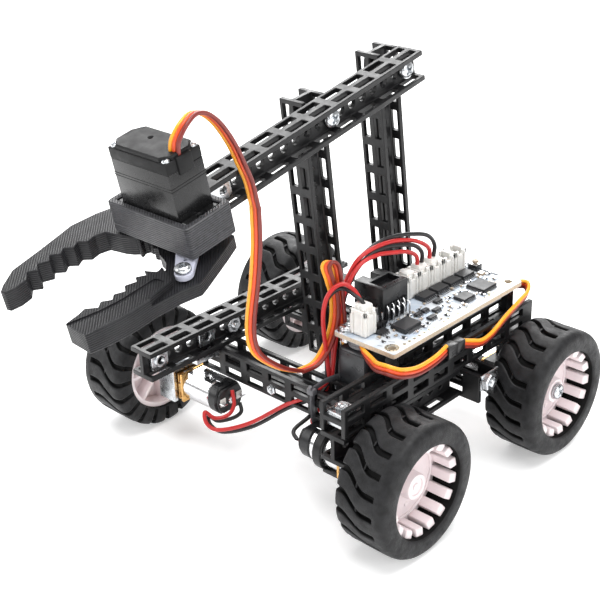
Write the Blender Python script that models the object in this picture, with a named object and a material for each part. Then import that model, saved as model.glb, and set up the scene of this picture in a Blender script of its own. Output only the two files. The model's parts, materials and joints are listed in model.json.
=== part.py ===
"""Four-wheel-drive construction-kit robot with a lifting arm and a gripper.

Axes: +Z up, the gripper points to -Y, +X is the near side, with the stacked beams.
The origin is on the ground, under the middle of the overall width and length.
All dimensions are in millimetres; make() and empty() convert them to metres.
Chassis coordinates have z = 0 on the deck, the top of the side beams; on_chassis()
turns them into world millimetres.
"""
import bpy
import bmesh
from math import pi, sin, cos, radians, atan2, ceil
from mathutils import Vector

for ob in list(bpy.data.objects):
    bpy.data.objects.remove(ob, do_unlink=True)

MM = 0.001

# ---------------------------------------------------------------- dimensions
GAP = 0.3                 # free gap between neighbouring pieces

WHEEL_R = 21.5            # tyre radius
WHEEL_W = 19.0            # tyre width
TRACK = 115.9             # between the wheels' middle planes
WHEELBASE = 73.0
FRONT_AXLE_Y = 27.1       # chassis y
SHAFT_R = 1.5

BEAM_H = 9.9              # beam, over both flanges
BEAM_W = 9.5              # beam, across one flange
FLANGE_T = 1.6
WEB_T = 1.6
SCREW_D = 3.0
SCREW_HOLE_D = SCREW_D + 0.2
PIVOT_HOLE_D = 3.6        # pivot holes in the uprights

DECK = 46.9               # height of the top of the side beams
X_MID = 26.85             # chassis station of the robot's middle plane
Y_MID = 32.455            # chassis station of the middle of the overall length

FAR_BEAM_X = 0.0          # middle of the far side beam
FAR_BEAM_L = 91.5
NEAR_BEAM_X = 68.5
NEAR_BEAM_Y0, NEAR_BEAM_Y1 = 13.8, 108.0
LOWER_BEAM_X = NEAR_BEAM_X - 0.2
LOWER_BEAM_Y1 = 69.3
LOWER_BEAM_Z = -BEAM_W - GAP - BEAM_H / 2
CROSS_X0 = -5.0           # far ends of both cross beams
CROSS_FRONT_L, CROSS_REAR_L = 68.2, 85.0
CROSS_FRONT_Y0, CROSS_REAR_Y0 = 29.7, 69.6
CROSS_REAR_H = 9.6
CROSS_FRONT_Z = -BEAM_H - GAP - BEAM_W / 2
CROSS_REAR_Z = CROSS_FRONT_Z - 0.4

LEAN = radians(6.1)       # forward lean of the two uprights
TILT = radians(11.09)     # nose-down tilt of the arm
UPRIGHT_X = 27.8
ARM_X = 37.8
PIVOT_SPACING = 35.0      # between the two uprights, along the arm
LINK_L = 80.0             # pivot to pivot
FRONT_TOP = (48.4, 71.3)  # front upper pivot, chassis y and z


# ----------------------------------------------------------------- materials
def material(name, colour, roughness, metallic=0.0):
    mat = bpy.data.materials.new(name)
    mat.use_nodes = True
    shader = mat.node_tree.nodes["Principled BSDF"]
    shader.inputs["Base Color"].default_value = (*colour, 1.0)
    shader.inputs["Roughness"].default_value = roughness
    shader.inputs["Metallic"].default_value = metallic
    mat.diffuse_color = (*colour, 1.0)
    return mat


BLACK = material("black_beam_plastic", colour=(0.018, 0.018, 0.02), roughness=0.38)
PRINT = material("printed_black_plastic", colour=(0.03, 0.03, 0.032), roughness=0.6)
SERVO = material("servo_case_plastic", colour=(0.012, 0.012, 0.013), roughness=0.3)
RUBBER = material("tyre_rubber", colour=(0.022, 0.022, 0.024), roughness=0.75)
HUB = material("white_hub_plastic", colour=(0.86, 0.78, 0.78), roughness=0.45)
ZINC = material("zinc_steel", colour=(0.72, 0.72, 0.72), roughness=0.28, metallic=1.0)
CAN = material("motor_can_steel", colour=(0.75, 0.75, 0.76), roughness=0.22, metallic=1.0)
BRASS = material("gearbox_brass", colour=(0.78, 0.45, 0.16), roughness=0.3, metallic=1.0)
STEEL = material("shaft_steel", colour=(0.6, 0.6, 0.62), roughness=0.25, metallic=1.0)
BOARD = material("white_board", colour=(0.86, 0.88, 0.9), roughness=0.4)
SOCKET = material("white_socket_plastic", colour=(0.88, 0.87, 0.83), roughness=0.45)
BLACK_SOCKET = material("black_socket_plastic", colour=(0.02, 0.02, 0.02), roughness=0.4)
SLEEVE = material("grey_battery_sleeve", colour=(0.06, 0.062, 0.066), roughness=0.4)
SPACER = material("grey_spacer", colour=(0.25, 0.25, 0.26), roughness=0.4)
HORN = material("white_horn_plastic", colour=(0.85, 0.85, 0.88), roughness=0.4)


# ---------------------------------------------- shapes, as (vertices, faces)
def box(x0, x1, y0, y1, z0, z1):
    verts = [(x, y, z) for z in (z0, z1) for y in (y0, y1) for x in (x0, x1)]
    faces = [(0, 2, 3, 1), (4, 5, 7, 6), (0, 1, 5, 4), (2, 6, 7, 3), (0, 4, 6, 2), (1, 3, 7, 5)]
    return verts, faces


def deck_box(x0, x1, y0, y1, z0, z1):
    """Box given in chassis coordinates."""
    return box(x0 - X_MID, x1 - X_MID, y0 - Y_MID, y1 - Y_MID, z0 + DECK, z1 + DECK)


def loft(rings):
    """Closed solid through rings of equally many points."""
    n = len(rings[0])
    last = n * (len(rings) - 1)
    faces = [tuple(range(n)), tuple(range(last, last + n))]
    for start in range(0, last, n):
        for i in range(n):
            j = (i + 1) % n
            faces.append((start + i, start + j, start + n + j, start + n + i))
    return [point for ring in rings for point in ring], faces


def prism(outline, lo, hi, axis):
    """Extrude a closed outline. axis x: outline is (y, z); y: (x, z); z: (x, y)."""
    def place(a, b, h):
        return {"x": (h, a, b), "y": (a, h, b), "z": (a, b, h)}[axis]
    return loft([[place(a, b, h) for a, b in outline] for h in (lo, hi)])


def circle(centre_a, centre_b, radius, n, start=0.0):
    angles = [start + 2 * pi * i / n for i in range(n)]
    return [(centre_a + radius * cos(t), centre_b + radius * sin(t)) for t in angles]


def revolve(profile, n, axis):
    """Turn a closed (radius, height) profile around an axis. Radius 0 makes a pole."""
    verts, rings = [], []
    for radius, h in profile:
        if radius < 1e-6:
            rings.append([len(verts)] * n)
            verts.append({"x": (h, 0, 0), "y": (0, h, 0), "z": (0, 0, h)}[axis])
            continue
        rings.append(list(range(len(verts), len(verts) + n)))
        for a, b in circle(0, 0, radius, n, pi / n):
            verts.append({"x": (h, a, b), "y": (a, h, b), "z": (a, b, h)}[axis])
    faces = []
    for ring, following in zip(rings, rings[1:] + rings[:1]):
        for i in range(n):
            j = (i + 1) % n
            corners = tuple(dict.fromkeys((ring[i], ring[j], following[j], following[i])))
            if len(corners) > 2:
                faces.append(corners)
    return verts, faces


def group(shapes):
    """Several closed shapes in one mesh."""
    verts, faces = [], []
    for shape_verts, shape_faces in shapes:
        n = len(verts)
        verts += shape_verts
        faces += [tuple(i + n for i in face) for face in shape_faces]
    return verts, faces


# ------------------------------------------------------------------- objects
def on_chassis(x, y, z):
    """Chassis coordinates to world millimetres."""
    return x - X_MID, y - Y_MID, z + DECK


def make(name, shape, mat, parent=None, loc=(0, 0, 0), rot=(0, 0, 0), smooth=False):
    verts, faces = shape
    mesh = bpy.data.meshes.new(name)
    bm = bmesh.new()
    bm_verts = [bm.verts.new(Vector(v) * MM) for v in verts]
    for face in faces:
        bm.faces.new([bm_verts[i] for i in face])
    bmesh.ops.remove_doubles(bm, verts=bm.verts, dist=1e-7)
    bmesh.ops.recalc_face_normals(bm, faces=bm.faces)
    bm.to_mesh(mesh)
    bm.free()
    mesh.materials.append(mat)
    ob = bpy.data.objects.new(name, mesh)
    bpy.context.collection.objects.link(ob)
    if smooth:
        mesh.shade_smooth()
        mesh.set_sharp_from_angle(angle=radians(40))
    ob.parent = parent
    ob.location = Vector(loc) * MM
    ob.rotation_euler = rot
    return ob


def turned(name, profile, n, mat, axis="z", **placing):
    return make(name, revolve(profile, n, axis), mat, smooth=True, **placing)


def empty(name, loc, rot=(0, 0, 0), parent=None):
    frame = bpy.data.objects.new(name, None)
    frame.empty_display_size = 0.01
    frame.location = Vector(loc) * MM
    frame.rotation_euler = rot
    frame.parent = parent
    bpy.context.collection.objects.link(frame)
    return frame


def boolean(target, operation, name, shape, **placing):
    """Apply a helper of the target's material, by default in the target's parent."""
    placing.setdefault("parent", target.parent)
    helper = make(name, shape, target.data.materials[0], **placing)
    helper.hide_render = True
    helper.display_type = "WIRE"
    mod = target.modifiers.new("bool", "BOOLEAN")
    mod.operation = operation
    mod.solver = "EXACT"
    mod.object = helper


def cut(target, name, shape, **placing):
    boolean(target, "DIFFERENCE", name, shape, **placing)


def fuse(target, name, shape, **placing):
    boolean(target, "UNION", name, shape, **placing)


# --------------------------------------------------------------------- beams
SLOT_PITCH = 10.0         # slots and web holes share this pitch
SLOT_L = 7.1
SLOT_W = 2.6
SLOT_OFFSET = 2.25        # slot row, from the flange's middle
SLOT_END, HOLE_END = 4.5, 2.5   # free of slot and hole centres at the beam's end
HOLE_D = 3.2              # web holes
PIVOT_CLEAR = 4.0         # no plain web hole this close to a pivot hole

# rotations of a beam
FLAT = (0, 0, radians(90))             # along +Y, flanges facing up and down
EDGE = (radians(90), 0, radians(90))   # along +Y, flanges facing sideways
CROSS = (radians(90), 0, 0)            # along +X, flanges facing front and back
UP = (0, radians(-90), radians(90))    # along +Z, flanges facing front and back


def stations(first, end):
    """Positions at the slot pitch, from first to just short of end."""
    return [first + SLOT_PITCH * i for i in range(ceil((end - first) / SLOT_PITCH))]


def beam(name, length, parent, loc, rot, pivots=(), pivot_d=SCREW_HOLE_D, first=5.0,
         height=BEAM_H):
    """I-profile beam along local +X, flanges facing local +-Z, web in the XZ plane.

    Slots run in two rows through both flanges, round holes through the web.
    pivots: positions of the pivot holes in the web.
    """
    h, w, web = height / 2, BEAM_W / 2, WEB_T / 2
    inside = h - FLANGE_T
    profile = [(-w, -h), (w, -h), (w, -inside), (web, -inside), (web, inside), (w, inside),
               (w, h), (-w, h), (-w, inside), (-web, inside), (-web, -inside), (-w, -inside)]
    ob = make(name, prism(profile, 0, length, "x"), BLACK, parent, loc, rot)
    cutters = []
    for x in stations(first, length - SLOT_END):
        for y in (-SLOT_OFFSET, SLOT_OFFSET):
            for z0, z1 in ((-h - 1, -inside + 0.4), (inside - 0.4, h + 1)):
                cutters.append(box(x - SLOT_L / 2, x + SLOT_L / 2,
                                   y - SLOT_W / 2, y + SLOT_W / 2, z0, z1))
    # web holes: position, diameter, sides
    holes = [(x, HOLE_D, 8) for x in stations(first, length - HOLE_END)
             if all(abs(x - pivot) > PIVOT_CLEAR for pivot in pivots)]
    holes += [(x, pivot_d, 12) for x in pivots]
    for x, diameter, n in holes:
        cutters.append(prism(circle(x, 0, diameter / 2, n, pi / n), -web - 1, web + 1, "y"))
    cut(ob, name + "_cutter", group(cutters), loc=loc, rot=rot)
    return ob


chassis = empty("chassis_frame", (0, 0, 0))
beam("far_side_beam", FAR_BEAM_L, chassis, on_chassis(FAR_BEAM_X, 0, -BEAM_H / 2), FLAT)
beam("near_upper_beam", NEAR_BEAM_Y1 - NEAR_BEAM_Y0, chassis,
     on_chassis(NEAR_BEAM_X, NEAR_BEAM_Y0, -BEAM_W / 2), EDGE)
beam("near_lower_beam", LOWER_BEAM_Y1 - NEAR_BEAM_Y0, chassis,
     on_chassis(LOWER_BEAM_X, NEAR_BEAM_Y0, LOWER_BEAM_Z), FLAT)
beam("front_cross_beam", CROSS_FRONT_L, chassis,
     on_chassis(CROSS_X0, CROSS_FRONT_Y0 + BEAM_H / 2, CROSS_FRONT_Z), CROSS)
rear_cross = beam("rear_cross_beam", CROSS_REAR_L, chassis,
                  on_chassis(CROSS_X0, CROSS_REAR_Y0 + CROSS_REAR_H / 2, CROSS_REAR_Z), CROSS,
                  height=CROSS_REAR_H)

# relief in the rear cross beam under the tilted tower base beam
RELIEF_HALF_W = 5.1
RELIEF_Y = (69.0, 80.0)
RELIEF_DEPTH = 0.9
CROSS_REAR_TOP = CROSS_REAR_Z + BEAM_W / 2
cut(rear_cross, "rear_cross_beam_relief",
    deck_box(ARM_X - RELIEF_HALF_W, ARM_X + RELIEF_HALF_W, *RELIEF_Y,
             CROSS_REAR_TOP - RELIEF_DEPTH, CROSS_REAR_TOP + 2), parent=None)

# ------------------------------------------------------- lifting parallelogram
BASE_L = 43.5
BASE_END = 3.5            # from the tower base beam's front end to its first pivot
UPRIGHT_END = 5.0         # from an upright's end to its pivot
ARM_FRONT, ARM_REAR = 55.0, 40.0   # arm, ahead of and behind the front pivot

REAR_TOP = (FRONT_TOP[0] + PIVOT_SPACING * cos(TILT), FRONT_TOP[1] + PIVOT_SPACING * sin(TILT))


def lower_pivot(top):
    return top[0] + LINK_L * sin(LEAN), top[1] - LINK_L * cos(LEAN)


# the tower base beam lies parallel to the arm; its web carries both lower pivots
base_frame = empty("tower_base_frame", on_chassis(ARM_X, *lower_pivot(FRONT_TOP)), (TILT, 0, 0))
beam("tower_base_beam", BASE_L, base_frame, (0, -BASE_END, 0), FLAT, first=8.5,
     pivots=(BASE_END, BASE_END + PIVOT_SPACING))

for name, top in (("front_upright", FRONT_TOP), ("rear_upright", REAR_TOP)):
    link = empty(name + "_axis", on_chassis(UPRIGHT_X, *lower_pivot(top)), (LEAN, 0, 0))
    beam(name, LINK_L + 2 * UPRIGHT_END, link, (0, 0, -UPRIGHT_END), UP,
         pivots=(UPRIGHT_END, UPRIGHT_END + LINK_L), pivot_d=PIVOT_HOLE_D)

# the arm's own frame: origin on the front upper pivot, -Y forward along the arm
arm = empty("arm_axis", on_chassis(ARM_X, *FRONT_TOP), (TILT, 0, 0))
beam("arm_beam", ARM_FRONT + ARM_REAR, arm, (0, -ARM_FRONT, 0), FLAT, first=10.0,
     pivots=(ARM_FRONT, ARM_FRONT + PIVOT_SPACING))

# pan-head pivot screw with a nut: head on the arm side, nut beyond the upright
HEAD_X = WEB_T / 2 + GAP
NUT_X = UPRIGHT_X - ARM_X - WEB_T / 2 - GAP
SCREW_R = SCREW_D / 2
# radius, x
PIVOT_SCREW_PROFILE = [
    (0, NUT_X - 3.2), (SCREW_R, NUT_X - 3.2), (SCREW_R, NUT_X - 2.4), (2.9, NUT_X - 2.4),
    (2.9, NUT_X), (SCREW_R, NUT_X), (SCREW_R, HEAD_X), (2.8, HEAD_X), (2.8, HEAD_X + 1.2),
    (2.0, HEAD_X + 2.0), (0, HEAD_X + 2.0)]
for level, frame in (("top", arm), ("base", base_frame)):
    for place, y in (("front", 0), ("rear", PIVOT_SPACING)):
        turned(f"{place}_{level}_pivot_screw", PIVOT_SCREW_PROFILE, 12, ZINC, "x",
               parent=frame, loc=(0, y, 0))

# ------------------------------------------------------- gear motors and wheels
MOTOR_W, MOTOR_H = 12.0, 10.0
GEARBOX_L, CAN_L, CAP_L = 8.5, 14.0, 5.5
MOTOR_GAP = {1: 1.4, -1: 5.1}   # wheel's inner face to the gearbox, near and far side
MOTOR_Y, MOTOR_Z = MOTOR_W / 2, MOTOR_H / 2   # half sizes
CAP_INSET = 0.25
BODY_INSET_Y, BODY_INSET_Z = 1.2, 0.8   # gear train block, in from the end plates' edges
BORE_CLEARANCE = 0.25
SHAFT_IN_GEARBOX, SHAFT_IN_WHEEL = 4.0, 12.0
CAN_ROUND_R, CAN_ROUND_ANGLE, CAN_STEPS = 3.0, 1.7, 5   # narrow sides of the can

# the facets' flats lie at the tyre's radius, so that the tyre stands on one
TYRE_R = WHEEL_R / cos(pi / 32)
HUB_R = 16.0              # hub rim, outside radius
RIM_R = 14.7              # hub rim, opening radius
TYRE_BORE_R = HUB_R + GAP
HUB_BORE_R = SHAFT_R + 0.3
# radius, distance outboard of the wheel's inner face
TYRE_PROFILE = [
    (TYRE_BORE_R, 0.0), (TYRE_R - 1.9, 0.0), (TYRE_R - 0.7, 0.5), (TYRE_R, 1.8),
    (TYRE_R, WHEEL_W - 1.8), (TYRE_R - 0.7, WHEEL_W - 0.5), (TYRE_R - 1.9, WHEEL_W),
    (TYRE_BORE_R, WHEEL_W)]
HUB_PROFILE = [
    (HUB_BORE_R, 2.0), (4.2, 2.0), (4.6, 7.0), (RIM_R, 7.0), (RIM_R, 0.4), (HUB_R, 0.4),
    (HUB_R, WHEEL_W - 0.4), (RIM_R, WHEEL_W - 0.4), (RIM_R, 9.4), (4.2, 9.4), (4.0, 14.0),
    (HUB_BORE_R, 14.0)]


def wheel_x(side, outboard):
    """World x at a distance outboard of the wheel's inner face."""
    return side * (TRACK / 2 - WHEEL_W / 2 + outboard)


def motor_span(side, start, end):
    """World x range between two distances inboard of the gearbox's front."""
    return sorted(wheel_x(side, -MOTOR_GAP[side] - inboard) for inboard in (start, end))


def can_outline(half_y, half_z):
    """Outline of a can with two flat and two round sides, in (y, z)."""
    points = []
    for sign in (1, -1):
        for i in range(CAN_STEPS + 1):
            t = -0.5 + i / CAN_STEPS
            y = half_y - (1 - cos(t * CAN_ROUND_ANGLE)) * CAN_ROUND_R
            points.append((sign * y, sign * half_z * 2 * t))
    return points


def gearbox(key, side, axle):
    """Two end plates with the gear train block between them, bored for the shaft."""
    plate = (-MOTOR_Y, MOTOR_Y, -MOTOR_Z, MOTOR_Z)
    body_y, body_z = MOTOR_Y - BODY_INSET_Y, MOTOR_Z - BODY_INSET_Z
    front = make("gearbox_" + key, box(*motor_span(side, 0, 1.2), *plate), BRASS, axle)
    fuse(front, "gearbox_body_" + key,
         box(*motor_span(side, 1.0, 7.7), -body_y, body_y, -body_z, body_z))
    fuse(front, "gearbox_back_" + key, box(*motor_span(side, 7.5, GEARBOX_L), *plate))
    cut(front, "gearbox_bore_" + key,
        prism(circle(0, 0, SHAFT_R + BORE_CLEARANCE, 12), *motor_span(side, -1, 4.5), "x"))


def motor(key, side, axle):
    """Can with round narrow sides and an end cap fused on its back."""
    can_end = GEARBOX_L + CAN_L
    can = make("motor_" + key,
               prism(can_outline(MOTOR_Y, MOTOR_Z),
                     *motor_span(side, GEARBOX_L + GAP, can_end), "x"), CAN, axle)
    fuse(can, "motor_cap_" + key,
         prism(can_outline(MOTOR_Y - CAP_INSET, MOTOR_Z - CAP_INSET),
               *motor_span(side, can_end - 0.3, can_end + CAP_L), "x"))


def shaft(key, side, axle):
    """Output shaft with a flat, from inside the gearbox into the wheel boss."""
    angles = [radians(-130 + 26 * i) for i in range(11)]
    outline = [(SHAFT_R * cos(a), SHAFT_R * sin(a)) for a in angles]
    ends = sorted((wheel_x(side, -MOTOR_GAP[side] - SHAFT_IN_GEARBOX),
                   wheel_x(side, SHAFT_IN_WHEEL)))
    make("shaft_" + key, prism(outline, *ends, "x"), STEEL, axle)


def wheel(key, side, axle):
    """Tyre on a recessed hub."""
    for part, profile, n, mat in (("tyre_", TYRE_PROFILE, 32, RUBBER),
                                  ("hub_", HUB_PROFILE, 24, HUB)):
        turned(part + key, [(r, wheel_x(side, d)) for r, d in profile], n, mat, "x", parent=axle)


axles = {}
for place, y in (("front", FRONT_AXLE_Y), ("rear", FRONT_AXLE_Y + WHEELBASE)):
    for side_name, side in (("near", 1), ("far", -1)):
        key = f"{place}_{side_name}"
        axle = empty("axle_" + key, (0, y - Y_MID, WHEEL_R))
        axles[key] = axle
        gearbox(key, side, axle)
        motor(key, side, axle)
        shaft(key, side, axle)
        wheel(key, side, axle)

# motor brackets: a strap around the gearbox that hangs from the beam above
DECK_Z = DECK - WHEEL_R   # deck height above the axle
STRAP_Y = MOTOR_Y + 0.4   # strap opening, half width
STRAP_Z = MOTOR_Z + 0.36  # strap opening, half height
STRAP_LEG = 1.5
STRAP_OUT = STRAP_Y + STRAP_LEG
PLATE_T = 1.6             # bracket's top plate and the strap's bridge
RISER_Y = 1.3             # riser web, half thickness
EAR_W, EAR_T = 2.4, 1.4
BRACKET_INSET = 0.35      # from both ends of the gearbox


def bracket_outline(top):
    """Inverted U with a riser web up to the beam, in (y, z) about the axle."""
    under, bridge = top - PLATE_T, STRAP_Z + PLATE_T
    return [(-STRAP_OUT, top), (STRAP_OUT, top), (STRAP_OUT, under), (RISER_Y, under),
            (RISER_Y, bridge), (STRAP_OUT, bridge), (STRAP_OUT, -STRAP_Z), (STRAP_Y, -STRAP_Z),
            (STRAP_Y, STRAP_Z), (-STRAP_Y, STRAP_Z), (-STRAP_Y, -STRAP_Z),
            (-STRAP_OUT, -STRAP_Z), (-STRAP_OUT, bridge), (-RISER_Y, bridge),
            (-RISER_Y, under), (-STRAP_OUT, under)]


def eared_outline(top):
    """Strap around the gearbox's underside, open at the top between two ears."""
    ear, under, bottom = STRAP_OUT + EAR_W, top - EAR_T, -STRAP_Z - STRAP_LEG
    return [(-ear, top), (-ear, under), (-STRAP_OUT, under), (-STRAP_OUT, bottom),
            (STRAP_OUT, bottom), (STRAP_OUT, under), (ear, under), (ear, top), (STRAP_Y, top),
            (STRAP_Y, -STRAP_Z), (-STRAP_Y, -STRAP_Z), (-STRAP_Y, top)]


def motor_bracket(key, side, outline):
    span = motor_span(side, BRACKET_INSET, GEARBOX_L - BRACKET_INSET)
    return make("motor_bracket_" + key, prism(outline, *span, "x"), BLACK, axles[key])


# the near front motor hangs right under the lower beam
motor_bracket("front_near", 1, eared_outline(DECK_Z + LOWER_BEAM_Z - BEAM_H / 2 - GAP))
motor_bracket("rear_near", 1, bracket_outline(DECK_Z - BEAM_W - GAP))

# far brackets have a foot that reaches in under the side beam
# key, foot's y range about the axle, foot's tip past the beam's middle
FAR_FEET = [("front_far", -7.9, CROSS_FRONT_Y0 - 0.4 - FRONT_AXLE_Y, 4.5),
            ("rear_far", -18.0, 0.0, 2.0)]
FOOT_T, FOOT_DROP = 1.75, 0.02   # foot's underside and top, below the bracket's top
for key, y0, y1, tip in FAR_FEET:
    top = DECK_Z - BEAM_H - GAP
    foot_x0 = motor_span(-1, BRACKET_INSET, GEARBOX_L - BRACKET_INSET)[0] + 1.0
    bracket = motor_bracket(key, -1, bracket_outline(top))
    fuse(bracket, "motor_bracket_foot_" + key,
         box(foot_x0, FAR_BEAM_X + tip - X_MID, y0, y1, top - FOOT_T, top - FOOT_DROP))

# ------------------------------------------------- gripper, in the arm's frame
JAW_CENTRE = 20.0         # between the two jaw pivots (gear centre distance)
NEAR_JAW_X = 5.5
FAR_JAW_X = NEAR_JAW_X - JAW_CENTRE
JAW_Y = -63.6             # jaw pivots, ahead of the front arm pivot
JAW_TOP, JAW_BOTTOM, JAW_PLATE_TOP = -4.1, -10.3, -6.3

# body: open tray with a bore for the servo's boss and one for the far jaw's screw
TRAY_X, TRAY_Y0, TRAY_Y1 = 16, -71.7, -55.4
TRAY_Z0, TRAY_Z1 = -3.7, 5.8
TRAY_WALL = 1.9           # front and back
POCKET_X, POCKET_Z0 = 14.2, -0.9
tray = make("gripper_body", box(-TRAY_X, TRAY_X, TRAY_Y0, TRAY_Y1, TRAY_Z0, TRAY_Z1), PRINT, arm)
cut(tray, "gripper_body_pocket",
    box(-POCKET_X, POCKET_X, TRAY_Y0 + TRAY_WALL, TRAY_Y1 - TRAY_WALL, POCKET_Z0, 9))
cut(tray, "gripper_body_bores", group([
    prism(circle(NEAR_JAW_X, JAW_Y, 4.2, 16), -6, 2, "z"),
    prism(circle(FAR_JAW_X, JAW_Y, 1.2, 10), -6, -1.6, "z")]))

# servo: case with mounting ears down in the tray, output boss through the floor
CASE_X, CASE_Y = 11.4, 6.1      # half sizes
CASE_Z0, CASE_Z1 = -0.5, 19.0
EARS_X, EARS_Y = 13.9, 5.9      # half sizes
EARS_Z0, EARS_Z1 = 1.6, 4.0
BOSS_R, BOSS_Z0, BOSS_Z1 = 3.6, -3.4, 0.5
servo = make("gripper_servo",
             box(-CASE_X, CASE_X, JAW_Y - CASE_Y, JAW_Y + CASE_Y, CASE_Z0, CASE_Z1), SERVO, arm)
fuse(servo, "gripper_servo_ears",
     box(-EARS_X, EARS_X, JAW_Y - EARS_Y, JAW_Y + EARS_Y, EARS_Z0, EARS_Z1))
fuse(servo, "gripper_servo_boss",
     revolve([(0, BOSS_Z0), (BOSS_R, BOSS_Z0), (BOSS_R, BOSS_Z1), (0, BOSS_Z1)], 16, "z"),
     loc=(NEAR_JAW_X, JAW_Y, 0), smooth=True)

# chamfered servo lid; rings are half x, half y, z
LID_RINGS = [(CASE_X, CASE_Y, CASE_Z1 + GAP), (CASE_X, CASE_Y, 22.9), (10.2, 5.0, 23.8)]
make("servo_lid", loft([[(-hx, JAW_Y - hy, z), (hx, JAW_Y - hy, z),
                         (hx, JAW_Y + hy, z), (-hx, JAW_Y + hy, z)]
                        for hx, hy, z in LID_RINGS]), SERVO, arm)

# jaw outlines about the pivot: distance outward, distance forward
NEAR_OUTER = [
    (7.8, -9.0), (10.5, -2.7), (15.2, 9.3), (16.1, 11.9), (14.1, 17.4), (12.8, 24.9),
    (12.5, 31.0), (12.1, 35.0), (10.7, 40.5), (9.4, 44.3), (1.0, 43.8), (0.7, 39.4)]
NEAR_TEETH = [
    (0.1, 36.9), (3.0, 34.7), (1.4, 32.7), (3.6, 30.5), (2.0, 28.8), (3.7, 26.2), (1.5, 24.6),
    (3.1, 21.6), (1.1, 20.5), (3.2, 18.1), (0.9, 17.2), (4.5, 15.8), (3.5, 12.6), (1.0, 10.0)]
FAR_OUTER = [
    (7.8, -8.4), (12.0, -3.0), (14.8, 4.0), (16.4, 12.1), (15.6, 16.5), (14.2, 25.0),
    (12.8, 35.5), (9.0, 41.4), (7.0, 43.6), (5.4, 43.3), (4.6, 40.0)]
FAR_TEETH = [
    (5.0, 36.4), (8.0, 33.9), (5.8, 31.9), (8.7, 29.9), (6.8, 27.2), (9.2, 25.3), (6.6, 23.4),
    (8.4, 21.0), (5.9, 19.4), (7.3, 16.9), (4.8, 15.4), (5.3, 12.4), (4.0, 9.6)]
# the near jaw's pivot plate is thinner than its finger, which leaves room for the horn
NEAR_RELIEF = [
    (-16, -14), (22, -14), (22, 26.0), (12.0, 25.5), (11.3, 16.7), (4.8, 14.0), (3.0, 13.2),
    (-3, 12), (-16, 12)]
GEAR_TIP_R, GEAR_ROOT_R = 10.5, 8.9
GEAR_PITCH = 18.0               # degrees
GEAR_FIRST, GEAR_LAST = -62, 46   # range of tooth centres, degrees
# one gear tooth: radius, degrees from the tooth's centre
GEAR_TOOTH = [(GEAR_ROOT_R, 5.8), (GEAR_TIP_R, 2.0), (GEAR_TIP_R, -2.0), (GEAR_ROOT_R, -5.8)]


def gear_sector(phase):
    """Toothed arc from front to back, facing inward to the other jaw."""
    polar = [(GEAR_ROOT_R, degrees) for degrees in (80, 63)]
    for k in range(4, -5, -1):
        centre = k * GEAR_PITCH + phase
        if GEAR_FIRST <= centre <= GEAR_LAST:
            polar += [(r, centre + offset) for r, offset in GEAR_TOOTH]
    polar += [(GEAR_ROOT_R, degrees) for degrees in (-75, -92, -108)]
    return [(-r * cos(radians(t)), r * sin(radians(t))) for r, t in polar]


def forward_prism(outline, side, z0, z1):
    """Prism of an (outward, forward) outline; forward is -Y."""
    return prism([(side * out, -ahead) for out, ahead in outline], z0, z1, "z")


def jaw(name, x, side, phase, outline, relief=None):
    axis = empty(name + "_axis", (x, JAW_Y, 0), parent=arm)
    ob = make(name, forward_prism(outline + gear_sector(phase), side, JAW_BOTTOM, JAW_TOP),
              PRINT, axis)
    if relief:
        cut(ob, name + "_relief", forward_prism(relief, side, JAW_PLATE_TOP, JAW_TOP + 2))
    cut(ob, name + "_bore",
        prism(circle(0, 0, 1.45, 12, pi / 12), JAW_BOTTOM - 1, JAW_TOP + 2, "z"))
    return ob


near_jaw = jaw("near_jaw", NEAR_JAW_X, 1, 0.0, NEAR_OUTER + NEAR_TEETH, NEAR_RELIEF)
jaw("far_jaw", FAR_JAW_X, -1, GEAR_PITCH / 2, FAR_OUTER + FAR_TEETH)
near_axis = near_jaw.parent

# servo horn over the near jaw: round hub, tapered arm and a rounded tip
HORN_OUT, HORN_AHEAD = 10.9, 12.3   # tip centre, outward and forward of the pivot
HORN_HUB_R, HORN_TIP_R = 3.4, 2.7
HORN_TOP, HORN_BOTTOM = JAW_TOP, JAW_PLATE_TOP + GAP
HORN_BORE_R, HORN_CENTRE_BORE_R = 1.25, 1.3
horn_angle = atan2(HORN_AHEAD, HORN_OUT)
horn_outline = []
for out, ahead, r, start in ((0, 0, HORN_HUB_R, horn_angle + pi / 2),
                             (HORN_OUT, HORN_AHEAD, HORN_TIP_R, horn_angle - pi / 2)):
    for i in range(9):
        a = start + pi * i / 8
        horn_outline.append((out + r * cos(a), ahead + r * sin(a)))
horn = make("servo_horn", forward_prism(horn_outline, 1, HORN_BOTTOM, HORN_TOP), HORN, near_axis)
tip_circle = circle(HORN_OUT, -HORN_AHEAD, HORN_BORE_R, 10)
cut(horn, "servo_horn_bore", prism(tip_circle, -12, 0, "z"))
cut(near_jaw, "near_jaw_screw_bore", prism(tip_circle, -14, 0, "z"))
cut(horn, "servo_horn_centre_bore", prism(circle(0, 0, HORN_CENTRE_BORE_R, 10), -12, 0, "z"))

# radius, z
HORN_SCREW_PROFILE = [
    (0, -9.6), (1.0, -9.6), (1.0, HORN_TOP + GAP), (2.3, HORN_TOP + GAP),
    (2.2, HORN_TOP + 1.0), (1.3, HORN_TOP + 1.7), (0, HORN_TOP + 1.7)]
turned("horn_screw", HORN_SCREW_PROFILE, 12, ZINC, parent=near_axis,
       loc=(HORN_OUT, -HORN_AHEAD, 0))

PIN_R, PIN_HEAD_R, PIN_BOTTOM = 1.0, 2.6, -12.4


def jaw_pin(name, top, parent, loc=(0, 0, 0)):
    """Screw up through a jaw, with its head below."""
    head_top = JAW_BOTTOM - GAP
    turned(name, [(0, PIN_BOTTOM), (PIN_HEAD_R, PIN_BOTTOM), (PIN_HEAD_R, head_top),
                  (PIN_R, head_top), (PIN_R, top), (0, top)], 12, ZINC, parent=parent, loc=loc)


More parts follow.
